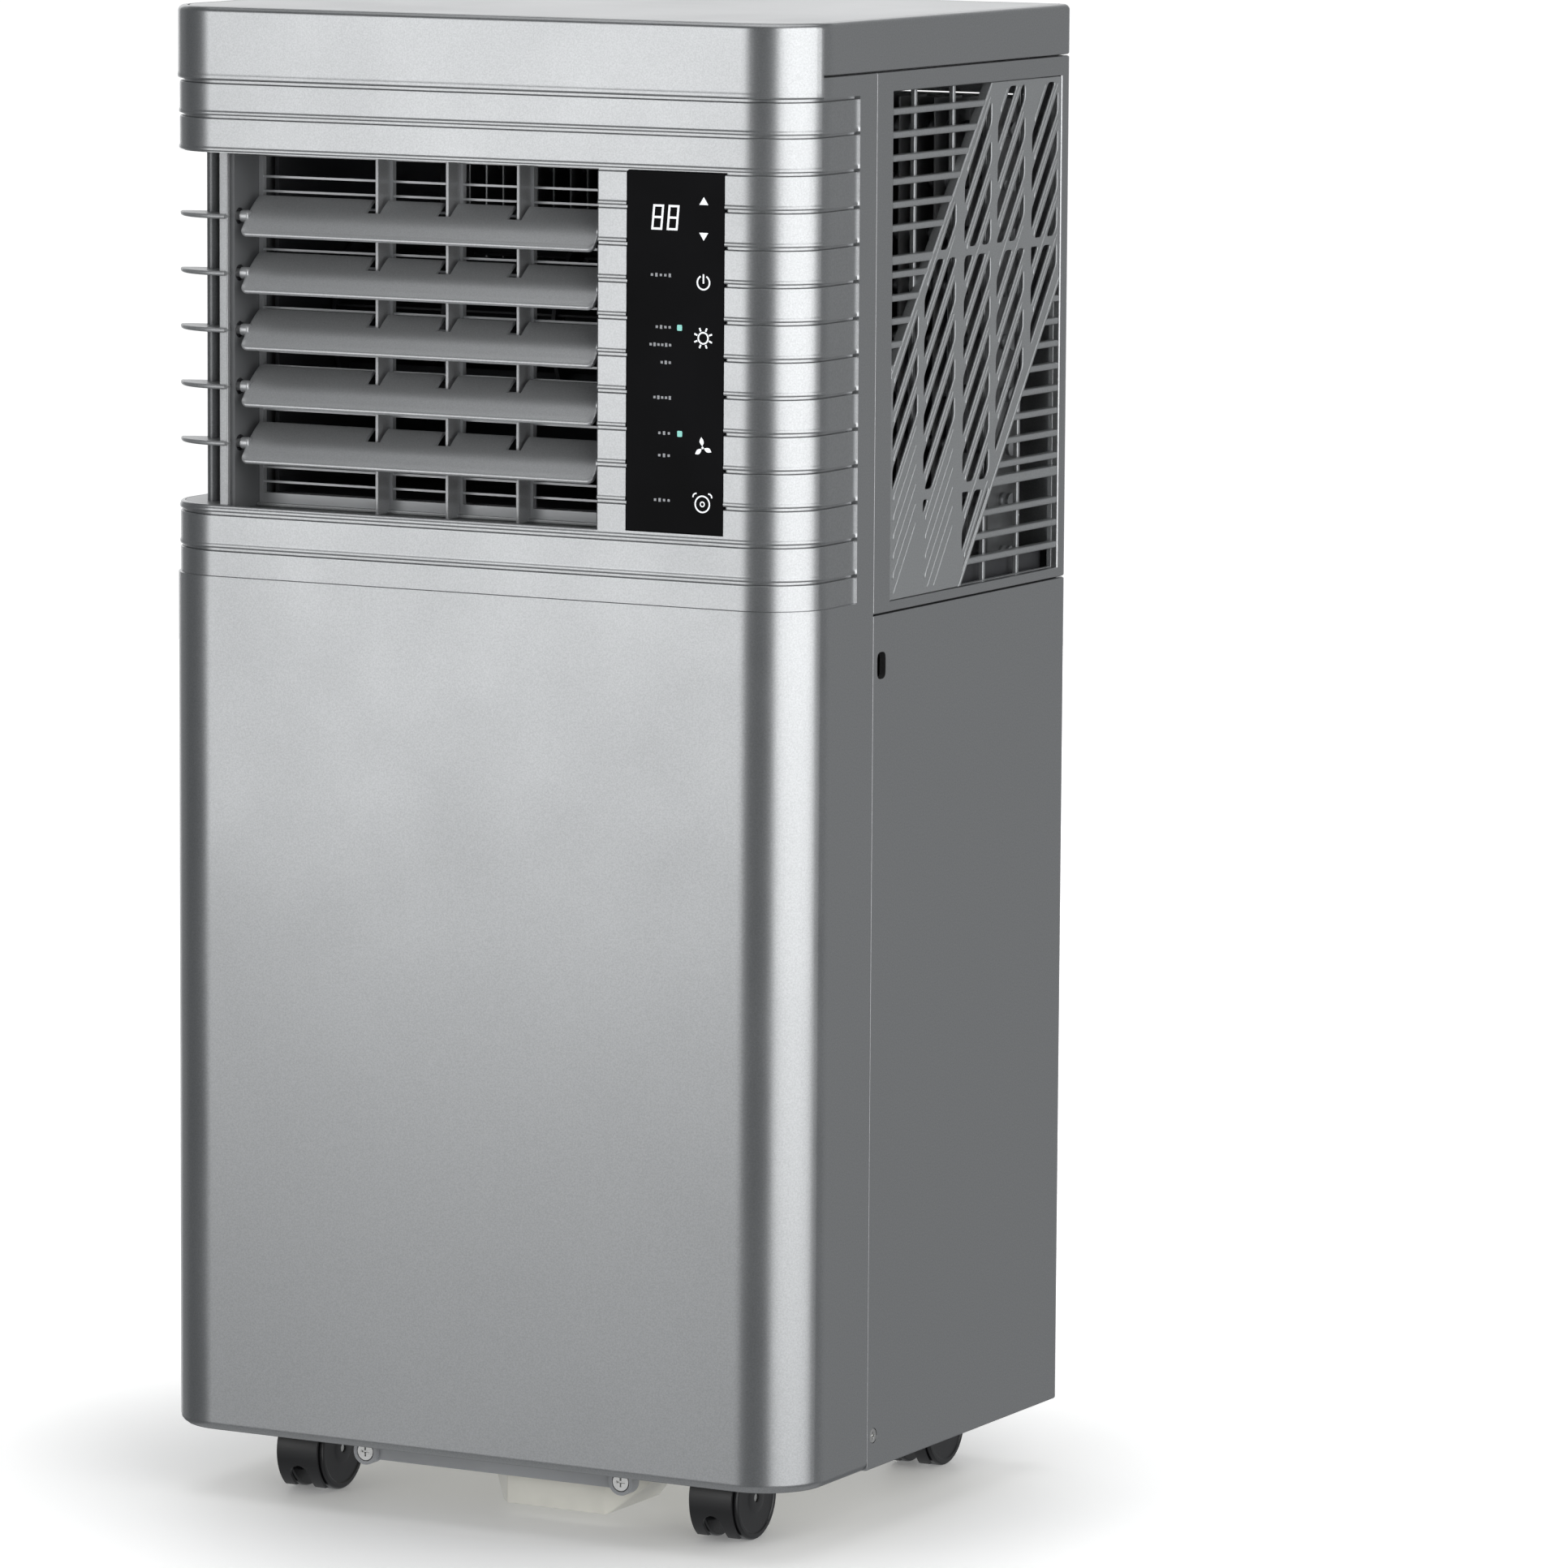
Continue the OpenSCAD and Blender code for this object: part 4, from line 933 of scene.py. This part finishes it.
def side_grille(node, side):
    """Grille insert: slanted slots in a raised field, level slats beside it, and a flange behind."""
    base_x = HALF_W - WALL - 2.4

    def at(x0):
        return lambda u, v, w: (side * (x0 + w), u, v)

    slots, ridges = [], []

    def add_ridge(y0, y1, middle):
        spine = trim_to_field(slot_loop(y0 + SPINE_W, y1 - SPINE_W, middle, SPINE_W), 2.6)
        if large(spine, 8):
            ridges.append(on_grille(rounded(spine, 1.2)))

    for y0, y1, low, count, blind in SLOT_COLUMNS:
        for k in range(-blind, count):
            middle = low + k * SLOT_PITCH
            if k >= 0:
                for loop in split_by_bars(trim_to_field(slot_loop(y0, y1, middle, SLOT_W), 2.4)):
                    if large(loop, 8):
                        slots.append(hole(on_grille(rounded(loop, 2.0))))
            add_ridge(y0, y1, middle + SLOT_PITCH / 2)
            if k < 0:
                add_ridge(y0, y1, middle)
    parts = [plate("field", [on_grille(field())] + slots, FIELD_T, 0.5, at(base_x + 3.5)),
             plate("ridges", ridges, FIELD_T, 0.5, at(base_x + 4.05))]
    bars = []
    height = GRILLE_Z1 - GRILLE_Z0
    levels = [(LEVEL_START + k * LEVEL_PITCH - SLAT_HALF, LEVEL_START + k * LEVEL_PITCH + SLAT_HALF)
              for k in range(int((height - 12) / LEVEL_PITCH) + 1)]
    levels = [b for b in levels if all(b[1] < t[0] - 0.3 or b[0] > t[1] + 0.3 for t in TIE_BARS)]
    for low, high in levels + list(TIE_BARS):
        for edge, upward in ((UPPER_EDGE, True), (LOWER_EDGE, False)):
            n = edge_normal(edge, upward)
            bar = rect(GRILLE_Y0 + FIELD_GAP, low, GRILLE_Y1 - FIELD_GAP, high)
            bar = clip_line(bar, shifted(edge, n, -1.0), n)
            if large(bar, 6):
                bars.append(on_grille(bar))
    parts.append(plate("slats", bars, 5.0, 1.1, at(base_x)))
    for edge, upward in ((UPPER_EDGE, False), (LOWER_EDGE, True)):
        n = edge_normal(edge, upward)
        rim = clip_line(field(), shifted(edge, n, 1.9), (-n[0], -n[1]))
        parts.append(plate("rim", [on_grille(rim)], 5.1, 0.8, at(base_x)))
    reach = GRILLE_FLANGE
    flange = [rect(GRILLE_Y0 - reach, GRILLE_Z0 - reach, GRILLE_Y1 + reach, GRILLE_Z1 + reach),
              hole(rect(GRILLE_Y0 + 0.3, GRILLE_Z0 + 0.3, GRILLE_Y1 - 0.3, GRILLE_Z1 - 0.3))]
    parts.append(plate("flange", flange, 2.3, 0.2, at(base_x)))
    webs = [rect(y - 1.2, GRILLE_Z0 - 1, y + 1.2, GRILLE_Z1 + 1) for y in WEB_Y]
    parts.append(plate("webs", webs, 2.4, 0.6, at(base_x - 1.2)))
    obj = join("grille_insert_" + ("right" if side > 0 else "left"), parts, outward=True)
    return dress(obj, GRILLE_PAINT, "chassis", [node], 50)


# ---- Air outlet ----

LOUVRE_COUNT = 5
TILT = math.radians(41)
CRANK_TILT = math.radians(-5.5)
CRANK_R = 8.0
LIP_REACH = 10.4
TAIL_REACH = 13.6
STRUT_X = (-57.4, -21.4, 14.6)
BLADE_LEFT = DUCT_LEFT + 6
BLADE_RIGHT = OUTLET_RIGHT - 3.5
CRANK_X = 66.0
PIN_R = 1.95
BLADE_DEPTH = 24
BLADE_HALF_T = 0.8
LIP_R = 1.15
CREST_S = 4.9
ARCH = 0.0107


def tilted(point, pivot, angle):
    x, s, h = point
    return (x + pivot[0], pivot[1] + s * math.cos(angle) - h * math.sin(angle),
            pivot[2] + s * math.sin(angle) + h * math.cos(angle))


def camber(s):
    """Height of the blade's arched middle line over its flat chord."""
    return 0.26 - ARCH * (s - CREST_S) ** 2


def blade(i, pivot):
    """Arched louvre blade with a rolled front lip and a notch for each strut."""
    lip, flat = LIP_R, BLADE_HALF_T
    ends = []
    for s in (0, 0.1, 0.35, 0.8, 1.4, 2.2, 3.2):
        ends += [BLADE_LEFT + s, BLADE_RIGHT - s]
    for x in STRUT_X:
        ends += [x - 4, x + 3.5, x - 16, x + 15]
    columns = tidy_list(ends)
    offsets = [0, 0.06, 0.2, 0.42, 0.72, 1.15, 1.7, 2.3, 3.0, 4.2, 5.8, 7.6, 9.4, 11.4, 13.0, 14.4,
               16.4, 18.6, 20.8, 22.6, 23.2, 23.6, 23.85, 24]

    def half(offset, x):
        if offset < lip:
            h = math.sqrt(max(lip ** 2 - (lip - offset) ** 2, 0))
        elif offset < 3:
            h = flat + (lip - flat) * math.cos((offset - lip) / (3 - lip) * math.pi / 2)
        else:
            h = flat
        left = BLADE_DEPTH - offset
        if left < flat:
            h = math.sqrt(max(flat ** 2 - (flat - left) ** 2, 0))
        end = min(x - BLADE_LEFT, BLADE_RIGHT - x)
        return max(h - edge_fall(end, flat) * h / flat * 0.7, 0.02)

    def middle(x, offset):
        front = -LIP_REACH + edge_fall(min(x - BLADE_LEFT, BLADE_RIGHT - x), 3.2)
        s = front + offset * (TAIL_REACH - front) / BLADE_DEPTH
        return s, camber(s)

    def surface(sign):
        def point(x, offset):
            s, h = middle(x, offset)
            slope = math.atan(-2 * ARCH * (s - CREST_S))
            t = sign * half(offset, x)
            return tilted((x, s - t * math.sin(slope), h + t * math.cos(slope)), pivot, TILT)
        return point

    def keep(mid):
        s = (mid[1] - pivot[1]) * math.cos(TILT) + (mid[2] - pivot[2]) * math.sin(TILT)
        return not (s > 3.9 and any(x - 4 < mid[0] < x + 3.5 for x in STRUT_X))

    return skin("blade_%d" % i, columns, offsets, surface(1), surface(-1), keep)


def louvres():
    for i in range(1, LOUVRE_COUNT + 1):
        pivot = (0, *joint_mm("louvre_%d_pivot" % i)[1:])
        low, high = box_mm("louvre_%d" % i)
        parts = [blade(i, pivot)]
        parts.append(round_rod("ear", (BLADE_LEFT - 3.3, *pivot[1:]), 5, 2.7, "x", 1.0))
        parts.append(round_rod("pin", (low[0], *pivot[1:]), 6, PIN_R, "x"))
        parts.append(round_rod("boss", (BLADE_RIGHT - 1, *pivot[1:]), 3, 3, "x", 0.5))
        parts.append(round_rod("shaft", (BLADE_RIGHT, *pivot[1:]), CRANK_X + 2 - BLADE_RIGHT, PIN_R, "x"))
        pin = tilted((0, CRANK_R, 0), pivot, CRANK_TILT)
        parts.append(round_rod("hub", (CRANK_X, *pivot[1:]), 2, 4, "x"))
        parts.append(round_rod("eye", (CRANK_X, *pin[1:]), 2, 3, "x"))
        parts.append(round_rod("peg", (CRANK_X, *pin[1:]), high[0] - CRANK_X, 1.45, "x"))
        web = [tilted((0, s, h), pivot, CRANK_TILT)[1:]
               for s, h in ((0, -3), (CRANK_R, -3), (CRANK_R, 3), (0, 3))]
        parts.append(plate("web", [web], 2, 0.3, lambda u, v, w: (CRANK_X + w, u, v)))
        obj = join("louvre_blade_%d" % i, parts)
        dress(obj, LOUVRE_GREY, "louvre_%d" % i, ["louvre_%d" % i], 40)


def outlet():
    """Recess, pivot bushes, struts and guard bars."""
    recess = cad_copy("outlet_frame", "outlet_recess")
    bevel(recess, 0.35)
    holes, bushes = [], []
    for i in range(1, LOUVRE_COUNT + 1):
        spot = (DUCT_LEFT, *joint_mm("louvre_%d_pivot" % i)[1:])
        holes.append(lathe("hole", [(0, -1), (3.7, -1), (3.7, 4), (0, 4)], spot, "x", 40))
        bush = [(2.1, 0.1), (3.65, 0.1), (3.65, 0.9), (2.1, 0.9), (2.1, 0.1)]
        bushes.append(lathe("bush", bush, spot, "x", 40))
    cut(recess, holes)
    dress(recess, RECESS_GREY, "chassis", ["outlet_frame"])
    dress(join("pivot_bushes", bushes), CHARCOAL, "chassis")
    soften("strut_comb", TRIM_PAINT, 0.3, name="outlet_struts")
    soften("outlet_guard", GUARD_GREY, 0.3, name="outlet_bars")


def open_corner_arc(inset, steps=30):
    """Points round the open corner, drawn in by inset from the casing's outline."""
    r = FRONT_R - inset
    arc_points = []
    for s in range(steps + 1):
        turn = math.radians(180 + 90 * s / steps)
        arc_points.append((-HALF_W + FRONT_R + r * math.cos(turn), -HALF_D + FRONT_R + r * math.sin(turn)))
    return arc_points


def corner_shelves():
    """Lens-shaped shelves with rolled rims round the open corner, with a flat and a round post."""
    centre, radius, reach_x = (-142.0, -138.0), 30.0, DUCT_LEFT - 0.2
    shelf_inset, closing_inset = 1.3, 3.2
    outline = open_corner_arc(shelf_inset) + [(reach_x, -HALF_D + shelf_inset)]
    outline = [p for p in outline
               if math.hypot(p[0] - centre[0], p[1] - centre[1]) < radius and p[0] <= reach_x]
    start = math.atan2(math.sqrt(radius ** 2 - (reach_x - centre[0]) ** 2), reach_x - centre[0])
    end = math.atan2(outline[0][1] - centre[1], outline[0][0] - centre[0])
    for s in range(21):
        turn = start + (end - start) * s / 20
        outline.append((centre[0] + radius * math.cos(turn), centre[1] + radius * math.sin(turn)))
    parts = []
    for i in range(1, LOUVRE_COUNT + 1):
        z = joint_mm("louvre_%d_pivot" % i)[2]
        parts.append(plate("shelf", [outline], 2.0, 0.9, lambda u, v, w, z=z: (u, v, z - 1 + w), 4))
    post_low = (DUCT_LEFT - 4.5, -126.5, OUTLET_Z0 - 1)
    parts.append(brick("post", post_low, (DUCT_LEFT - 0.2, -124, OUTLET_Z1 + 1)))
    bevel(parts[-1], 0.5, 3)
    closing = [(-HALF_W + closing_inset, NICHE_Y - 0.2)] + open_corner_arc(closing_inset)
    closing += [(reach_x, -HALF_D + closing_inset), (reach_x, NICHE_Y - 0.2)]
    for z in (OUTLET_Z0 - 2, OUTLET_Z1):
        parts.append(plate("closing", [closing], 2.0, 0.2, lambda u, v, w, z=z: (u, v, z + w)))
    obj = join("corner_shelves", parts, outward=True)
    dress(obj, TRIM_PAINT, "chassis", ["corner_fins"], 45)
    post = round_rod("corner_post", (-143, -112, OUTLET_Z0 - 1), OUTLET_Z1 - OUTLET_Z0 + 2, 3.2, "z")
    # painted shade: the round post takes the darker copy of the trim paint
    dress(post, POST_SHADE_PAINT, "chassis")


# ---- Touch panel ----

SIGN_H = 0.12


def prism(loop, place, thickness=SIGN_H):
    """Thin flat solid from a filled outline."""
    n = len(loop)
    verts = [place(u, v, w) for w in (0, thickness) for u, v in loop]
    faces = [list(range(n)), list(range(2 * n - 1, n - 1, -1))]
    faces += [[i, (i + 1) % n, n + (i + 1) % n, n + i] for i in range(n)]
    return new_object("sign", to_mesh("sign", verts, faces))


def ribbon(points, width, place, closed=False):
    """Thin flat line of even width along a path."""
    n = len(points)
    left, right = [], []
    for i, p in enumerate(points):
        before = points[i - 1] if closed or i > 0 else p
        after = points[(i + 1) % n] if closed or i < n - 1 else p
        a = Vector((p[0] - before[0], p[1] - before[1]))
        b = Vector((after[0] - p[0], after[1] - p[1]))
        a = a.normalized() if a.length > 1e-6 else b.normalized()
        b = b.normalized() if b.length > 1e-6 else a
        normal = Vector((-(a + b).y, (a + b).x)).normalized()
        reach = width / 2 / max(normal.dot(Vector((-a.y, a.x))), 0.5)
        left.append((p[0] + normal.x * reach, p[1] + normal.y * reach))
        right.append((p[0] - normal.x * reach, p[1] - normal.y * reach))
    verts = [place(u, v, w) for w in (0, SIGN_H) for u, v in left + right]
    faces = []
    for i in range(n if closed else n - 1):
        j = (i + 1) % n
        a, b, c, d = i, j, n + j, n + i
        faces += [[a, b, c, d], [2 * n + d, 2 * n + c, 2 * n + b, 2 * n + a]]
        faces += [[a, b, 2 * n + b, 2 * n + a], [d, c, 2 * n + c, 2 * n + d]]
    if not closed:
        for i in (0, n - 1):
            faces.append([i, n + i, 3 * n + i, 2 * n + i])
    return new_object("line", to_mesh("line", verts, faces))


def arc(u, v, r, start, end, steps=28):
    return [(u + r * math.cos(math.radians(start + (end - start) * s / steps)),
             v + r * math.sin(math.radians(start + (end - start) * s / steps))) for s in range(steps + 1)]


def touch_panel():
    """Black glass-like plate with the signs that show through it."""
    front_y = panel_low[1]
    mid_x = (panel_low[0] + panel_high[0]) / 2
    base_z = OUTLET_Z0 - 452.5

    outline = rect(panel_low[0], panel_low[2], panel_high[0], panel_high[2], 0.6)
    slab = plate("glass_panel", [outline], panel_high[1] - front_y, 0.35, lambda u, v, w: (u, front_y + w, v))
    dress(slab, BLACK_GLASS, "chassis", ["touch_panel"], 40)

    def at(u, v, w):
        return u, front_y + 0.02 - w, v + base_z + SHELL_Z0

    def lean(points, low):
        return [(u + (v - low) * 0.09, v) for u, v in points]

    white = []

    def line(points, width, closed=False):
        white.append(ribbon(points, width, at, closed))

    # two segmented digits with every segment lit, which is no reading
    digit_low, digit_high, digit_w, digit_stroke = 552.5, 562.5, 4.4, 0.95
    middle = (digit_low + digit_high) / 2
    for x in (90.6, 98.2):
        loop = [(x, digit_high), (x, digit_low), (x + digit_w, digit_low), (x + digit_w, digit_high)]
        line(lean(loop, digit_low), digit_stroke, True)
        line(lean([(x + 0.5, middle), (x + digit_w - 0.5, middle)], digit_low), digit_stroke)
    # up and down marks
    sign_x = mid_x + 13.9
    for v, way in ((565, 1), (550, -1)):
        base, tip = v - way * 1.5, v + way * 1.9
        white.append(prism([(sign_x - 2.2, base), (sign_x + 2.2, base), (sign_x, tip)], at))
    # switch-on mark
    line(arc(sign_x, 530, 3.0, 118, 422), 0.7)
    line([(sign_x, 529.6), (sign_x, 533.6)], 0.7)
    # mode mark: a ring with eight rays
    mode_z = 506
    line(arc(sign_x, mode_z, 2.4, 0, 352, 44), 0.7, True)
    for ray in range(8):
        turn = math.radians(22.5 + 45 * ray)
        c, s = math.cos(turn), math.sin(turn)
        line([(sign_x + r * c, mode_z + r * s) for r in (3.1, 4.7)], 0.75)
    # fan mark: three curved blades
    fan_z = 458.5

    def petal_edge(step, bulge):
        t = step / 12
        return 0.7 + 3.9 * t, 0.15 + bulge * math.sin(math.pi * t) + 0.5 * t

    petal = [petal_edge(s, 1.1) for s in range(13)] + [petal_edge(s, -0.9) for s in range(11, 0, -1)]
    for k in range(3):
        turn = math.radians(90 + 120 * k)
        c, s = math.cos(turn), math.sin(turn)
        white.append(prism([(sign_x + p * c - q * s, fan_z + p * s + q * c) for p, q in petal], at))
    white.append(prism(circle(sign_x, fan_z, 0.55, 16), at))
    # timer mark: a clock with two bells
    timer_z = 434
    line(arc(sign_x, timer_z, 3.5, 0, 352, 44), 0.65, True)
    line(arc(sign_x, timer_z, 1.0, 0, 345, 22), 0.5, True)
    for s in (-1, 1):
        line(arc(sign_x + s * 3.1, 437.1, 1.5, 90 - s * 45 - 55, 90 - s * 45 + 55, 10), 0.6)
    dress(join("panel_signs", white, outward=True), SIGN_WHITE, "chassis")

    # short plain bars stand where the words are
    right, bar_w, bar_pitch = 101.0, 1.1, 1.9
    bars = []
    for left, v in ((90, 532.5), (92.5, 510), (89.5, 502.3), (95, 494.7),
                    (91.5, 479.4), (94, 464), (94, 454.3), (92, 434.8)):
        steps = max(int((right - left) / bar_pitch), 2)
        for s in range(steps):
            u = left + (right - left) * s / steps
            tall = 0.8 if s % 3 == 1 else 0.55
            bars.append(prism(rect(u, v - tall, u + bar_w, v + tall), at))
    dress(join("panel_bars", bars, outward=True), SIGN_GREY, "chassis")

    lamps = [prism(rect(u - 1.2, v - 1.3, u + 1.2, v + 1.3, 0.5), at)
             for u, v in ((104.3, 510), (104.6, 464))]
    dress(join("panel_lamps", lamps, outward=True), LED_TEAL, "chassis")


# ---- Casters, rail and sump ----

CORNERS = ("fl", "fr", "rl", "rr")


def casters():
    for c in CORNERS:
        soften("caster_hood_" + c, SATIN_BLACK, 0.7, 3, name="caster_cover_" + c)
        low, high = box_mm("caster_wheels_" + c)
        joint = joint_mm("wheel_roll_" + c)
        r = (high[2] - low[2]) / 2
        wheels = []
        for side in (-1, 1):
            inner, tyre_w, rim, hub, bore = 4.6, 7.8, 1.4, 7.5, 2.05
            profile = [(bore, inner - 0.8), (5, inner - 0.8), (5, inner), (r - rim, inner)]
            for s in range(1, 7):
                turn = math.pi / 2 * s / 6
                profile.append((r - rim + rim * math.sin(turn), inner + rim - rim * math.cos(turn)))
            for s in range(0, 7):
                turn = math.pi / 2 * s / 6
                profile.append((r - rim + rim * math.cos(turn), inner + tyre_w - rim + rim * math.sin(turn)))
            profile += [(r - 2.6, inner + tyre_w), (r - 3.0, inner + 7.4), (r - 3.6, inner + 7.3),
                        (hub, inner + 7.3), (hub - 0.6, inner + 7.6), (3.2, inner + 7.7),
                        (bore, inner + 7.5), (bore, inner - 0.8)]
            profile = [(radius, side * along) for radius, along in profile]
            wheels.append(lathe("wheel", profile, joint, "x", 72))
        obj = join("caster_twin_wheels_" + c, wheels, outward=True)
        dress(obj, WHEEL_BLACK, "wheels_" + c, ["caster_wheels_" + c], 40)
        soften("caster_axle_" + c, STEEL, 0.2, name="caster_pin_" + c)


def small_parts():
    soften("front_rail", RAIL_GREY, 0.5, 3, name="rail")
    soften("rail_screws", STEEL, 0.15, name="rail_screw_pair")
    soften("case_screws", STEEL, 0.12, name="case_screw_pair")
    soften("sump", CREAM, 1.0, 3, name="sump_bowl")
    soften("base_pan", CREAM, 0.3, name="base_tray")
    soften("intake_grille", PAINT, 0.35, name="intake_louvres")
    soften("filter_cover", PAINT, 0.35, name="filter_door", whole=False)
    soften("exhaust_collar", CHARCOAL, 0.5, name="hose_collar")
    soften("cord_gland", CHARCOAL, 0.4, name="gland")
    soften("drain_plug_upper", RUBBER, 0.3, name="upper_plug")
    soften("drain_plug_lower", RUBBER, 0.3, name="lower_plug")
    soften("louvre_link", WHITE_PLASTIC, 0.25, name="link_bar")
    soften("swing_crank", WHITE_PLASTIC, 0.25, name="motor_crank")


INSIDE = {
    "filter_screen": MESH_CLOTH, "caster_sockets": STEEL, "swing_motor": MOTOR_STEEL,
    "display_board": GREEN_BOARD,
    "control_box": GALVANISED, "run_capacitor": GALVANISED, "compressor": COMPRESSOR_BLACK,
    "compressor_feet": RUBBER, "accumulator": COMPRESSOR_BLACK, "condenser_coil": ALUMINIUM,
    "evaporator_coil": ALUMINIUM, "lower_fan_scroll": CHARCOAL, "lower_fan_wheel": CHARCOAL,
    "lower_fan_motor": MOTOR_STEEL, "upper_fan_scroll": CHARCOAL, "upper_fan_wheel": CHARCOAL,
    "upper_fan_motor": MOTOR_STEEL, "partition_tray": CHARCOAL, "refrigerant_pipes": COPPER,
}


def inside_parts():
    """The pieces inside keep their CAD shapes, with finished surfaces."""
    for node, finish in INSIDE.items():
        obj = frame["nodes"][node]
        obj.data.materials.clear()
        obj.data.materials.append(finish)
        obj.data.polygons.foreach_set("material_index", [0] * len(obj.data.polygons))


# ---- Studio ----

def camera():
    yaw, pitch, roll = (math.radians(degrees) for degrees in (28.23, 7.57, 0.369))
    position = (1.9446, -3.4593, 0.849)
    forward = Vector((-math.sin(yaw) * math.cos(pitch), math.cos(yaw) * math.cos(pitch), -math.sin(pitch)))
    side = Vector((math.cos(yaw), math.sin(yaw), 0))
    up = side.cross(forward)
    right = side * math.cos(roll) + up * math.sin(roll)
    top = up * math.cos(roll) - side * math.sin(roll)
    data = bpy.data.cameras.new("camera")
    data.lens = 202.5
    data.sensor_width = 36
    data.clip_end = 100
    obj = new_object("camera", data)
    matrix = Matrix((right, top, -forward)).transposed().to_4x4()
    matrix.translation = position
    obj.matrix_world = matrix
    SCENE.camera = obj


LIGHT_LEVEL = 1.6
STAGE_GLOW = 0.95
OBJECT_Y = -0.1


def area_light(name, location, aim, size, radiance):
    """Soft box of the given radiance, whatever its size."""
    data = bpy.data.lights.new(name, "AREA")
    data.shape = "RECTANGLE"
    data.size, data.size_y = size
    data.energy = LIGHT_LEVEL * radiance * math.pi * size[0] * size[1]
    obj = new_object(name, data)
    obj.location = location
    obj.rotation_euler = (Vector(aim) - Vector(location)).to_track_quat("-Z", "Y").to_euler()
    obj.visible_camera = False
    return obj


def soft_light(name, azimuth, distance, heights, width, radiance):
    """Upright soft box at an angle round from the front, 0 in front and positive to the right. Metres."""
    turn = math.radians(azimuth)
    middle = sum(heights) / 2
    location = (distance * math.sin(turn), OBJECT_Y - distance * math.cos(turn), middle)
    return area_light(name, location, (0, OBJECT_Y, middle), (width, heights[1] - heights[0]), radiance)


def top_light(name, height, width, radiance):
    return area_light(name, (0, 0.01, height), (0, 0, 0), (width, width), radiance)


def stage_piece(name, points, faces, rough, cloud):
    """Pale glowing floor or backdrop. It stays out of reflections, bounced light and shadow rays."""
    piece = new_object(name, to_mesh(name, points, faces))
    mat, tree, shader = material("pale_" + name, (0.8, 0.8, 0.796), rough)
    shades(tree, shader, noise(tree, cloud, 2.0), (0.79, 0.79, 0.786), (0.81, 0.81, 0.806))
    shader.inputs["Emission Color"].default_value = (1, 1, 0.995, 1)
    shader.inputs["Emission Strength"].default_value = STAGE_GLOW
    piece.data.materials.append(mat)
    piece.visible_glossy = False
    piece.visible_diffuse = False
    piece.visible_shadow = False
    return piece, tree, shader


def studio():
    world = bpy.data.worlds.new("studio")
    world.use_nodes = True
    SCENE.world = world
    sky = world.node_tree.nodes["Background"]
    sky.inputs["Color"].default_value = (0.93, 0.965, 1.0, 1)
    sky.inputs["Strength"].default_value = 0.11 * LIGHT_LEVEL

    half = 20000
    corners = [(-half, -half, 0), (half, -half, 0), (half, half, 0), (-half, half, 0)]
    floor, tree, shader = stage_piece("floor", corners, [(0, 1, 2, 3)], 0.6, 3)
    # Painted shadow: the floor's glow drops from full far out to 0.15 near the object, a soft round painted
    # shadow under the unit
    reach = tree.nodes.new("ShaderNodeVectorMath")
    reach.operation = "LENGTH"
    tree.links.new(place_texture(tree), reach.inputs[0])
    glow = spread(tree, reach.outputs["Value"], 0.14, 0.45, 0.15, STAGE_GLOW)
    tree.links.new(glow, shader.inputs["Emission Strength"])
    dome_r, dome_h, sides = 19000, 24000, 64
    ring = circle(0, 0, dome_r, sides)
    points = [(x, y, -10) for x, y in ring] + [(x, y, dome_h) for x, y in ring]
    walls = [(i, (i + 1) % sides, sides + (i + 1) % sides, sides + i) for i in range(sides)]
    roof = tuple(range(sides, 2 * sides))
    dome, _, _ = stage_piece("backdrop", points, walls + [roof], 0.8, 0.5)

    soft_light("front_box", -27, 2.0, (0.0, 1.4), 1.0, 1.26)
    soft_light("front_fade", -27, 2.0, (-0.8, 0.0), 1.0, 0.36)
    soft_light("right_box", 73, 1.8, (0.0, 1.9), 2.4, 1.45)
    soft_light("right_fade", 73, 1.8, (-0.6, 0.0), 2.4, 0.8)
    soft_light("side_fill", 152, 2.2, (-1.0, 2.2), 1.6, 0.105)
    soft_light("back_box", 208, 3.4, (-0.8, 2.4), 4.0, 0.64)
    soft_light("left_fill", 242, 2.4, (-0.8, 2.0), 2.2, 0.09)
    top_light("overhead", 2.6, 2.4, 0.6)
    area_light("floor_glow", (0, OBJECT_Y, -0.5), (0, OBJECT_Y, 1), (1.5, 1.5), 0.14)

    SCENE.view_settings.view_transform = "Standard"
    SCENE.view_settings.look = "None"
    SCENE.view_settings.exposure = 0


def main():
    camera()
    front_shell()
    top_cover()
    rear_shells()
    side_grille("side_grille_right", 1)
    side_grille("side_grille_left", -1)
    louvres()
    outlet()
    corner_shelves()
    touch_panel()
    casters()
    small_parts()
    inside_parts()
    studio()


main()
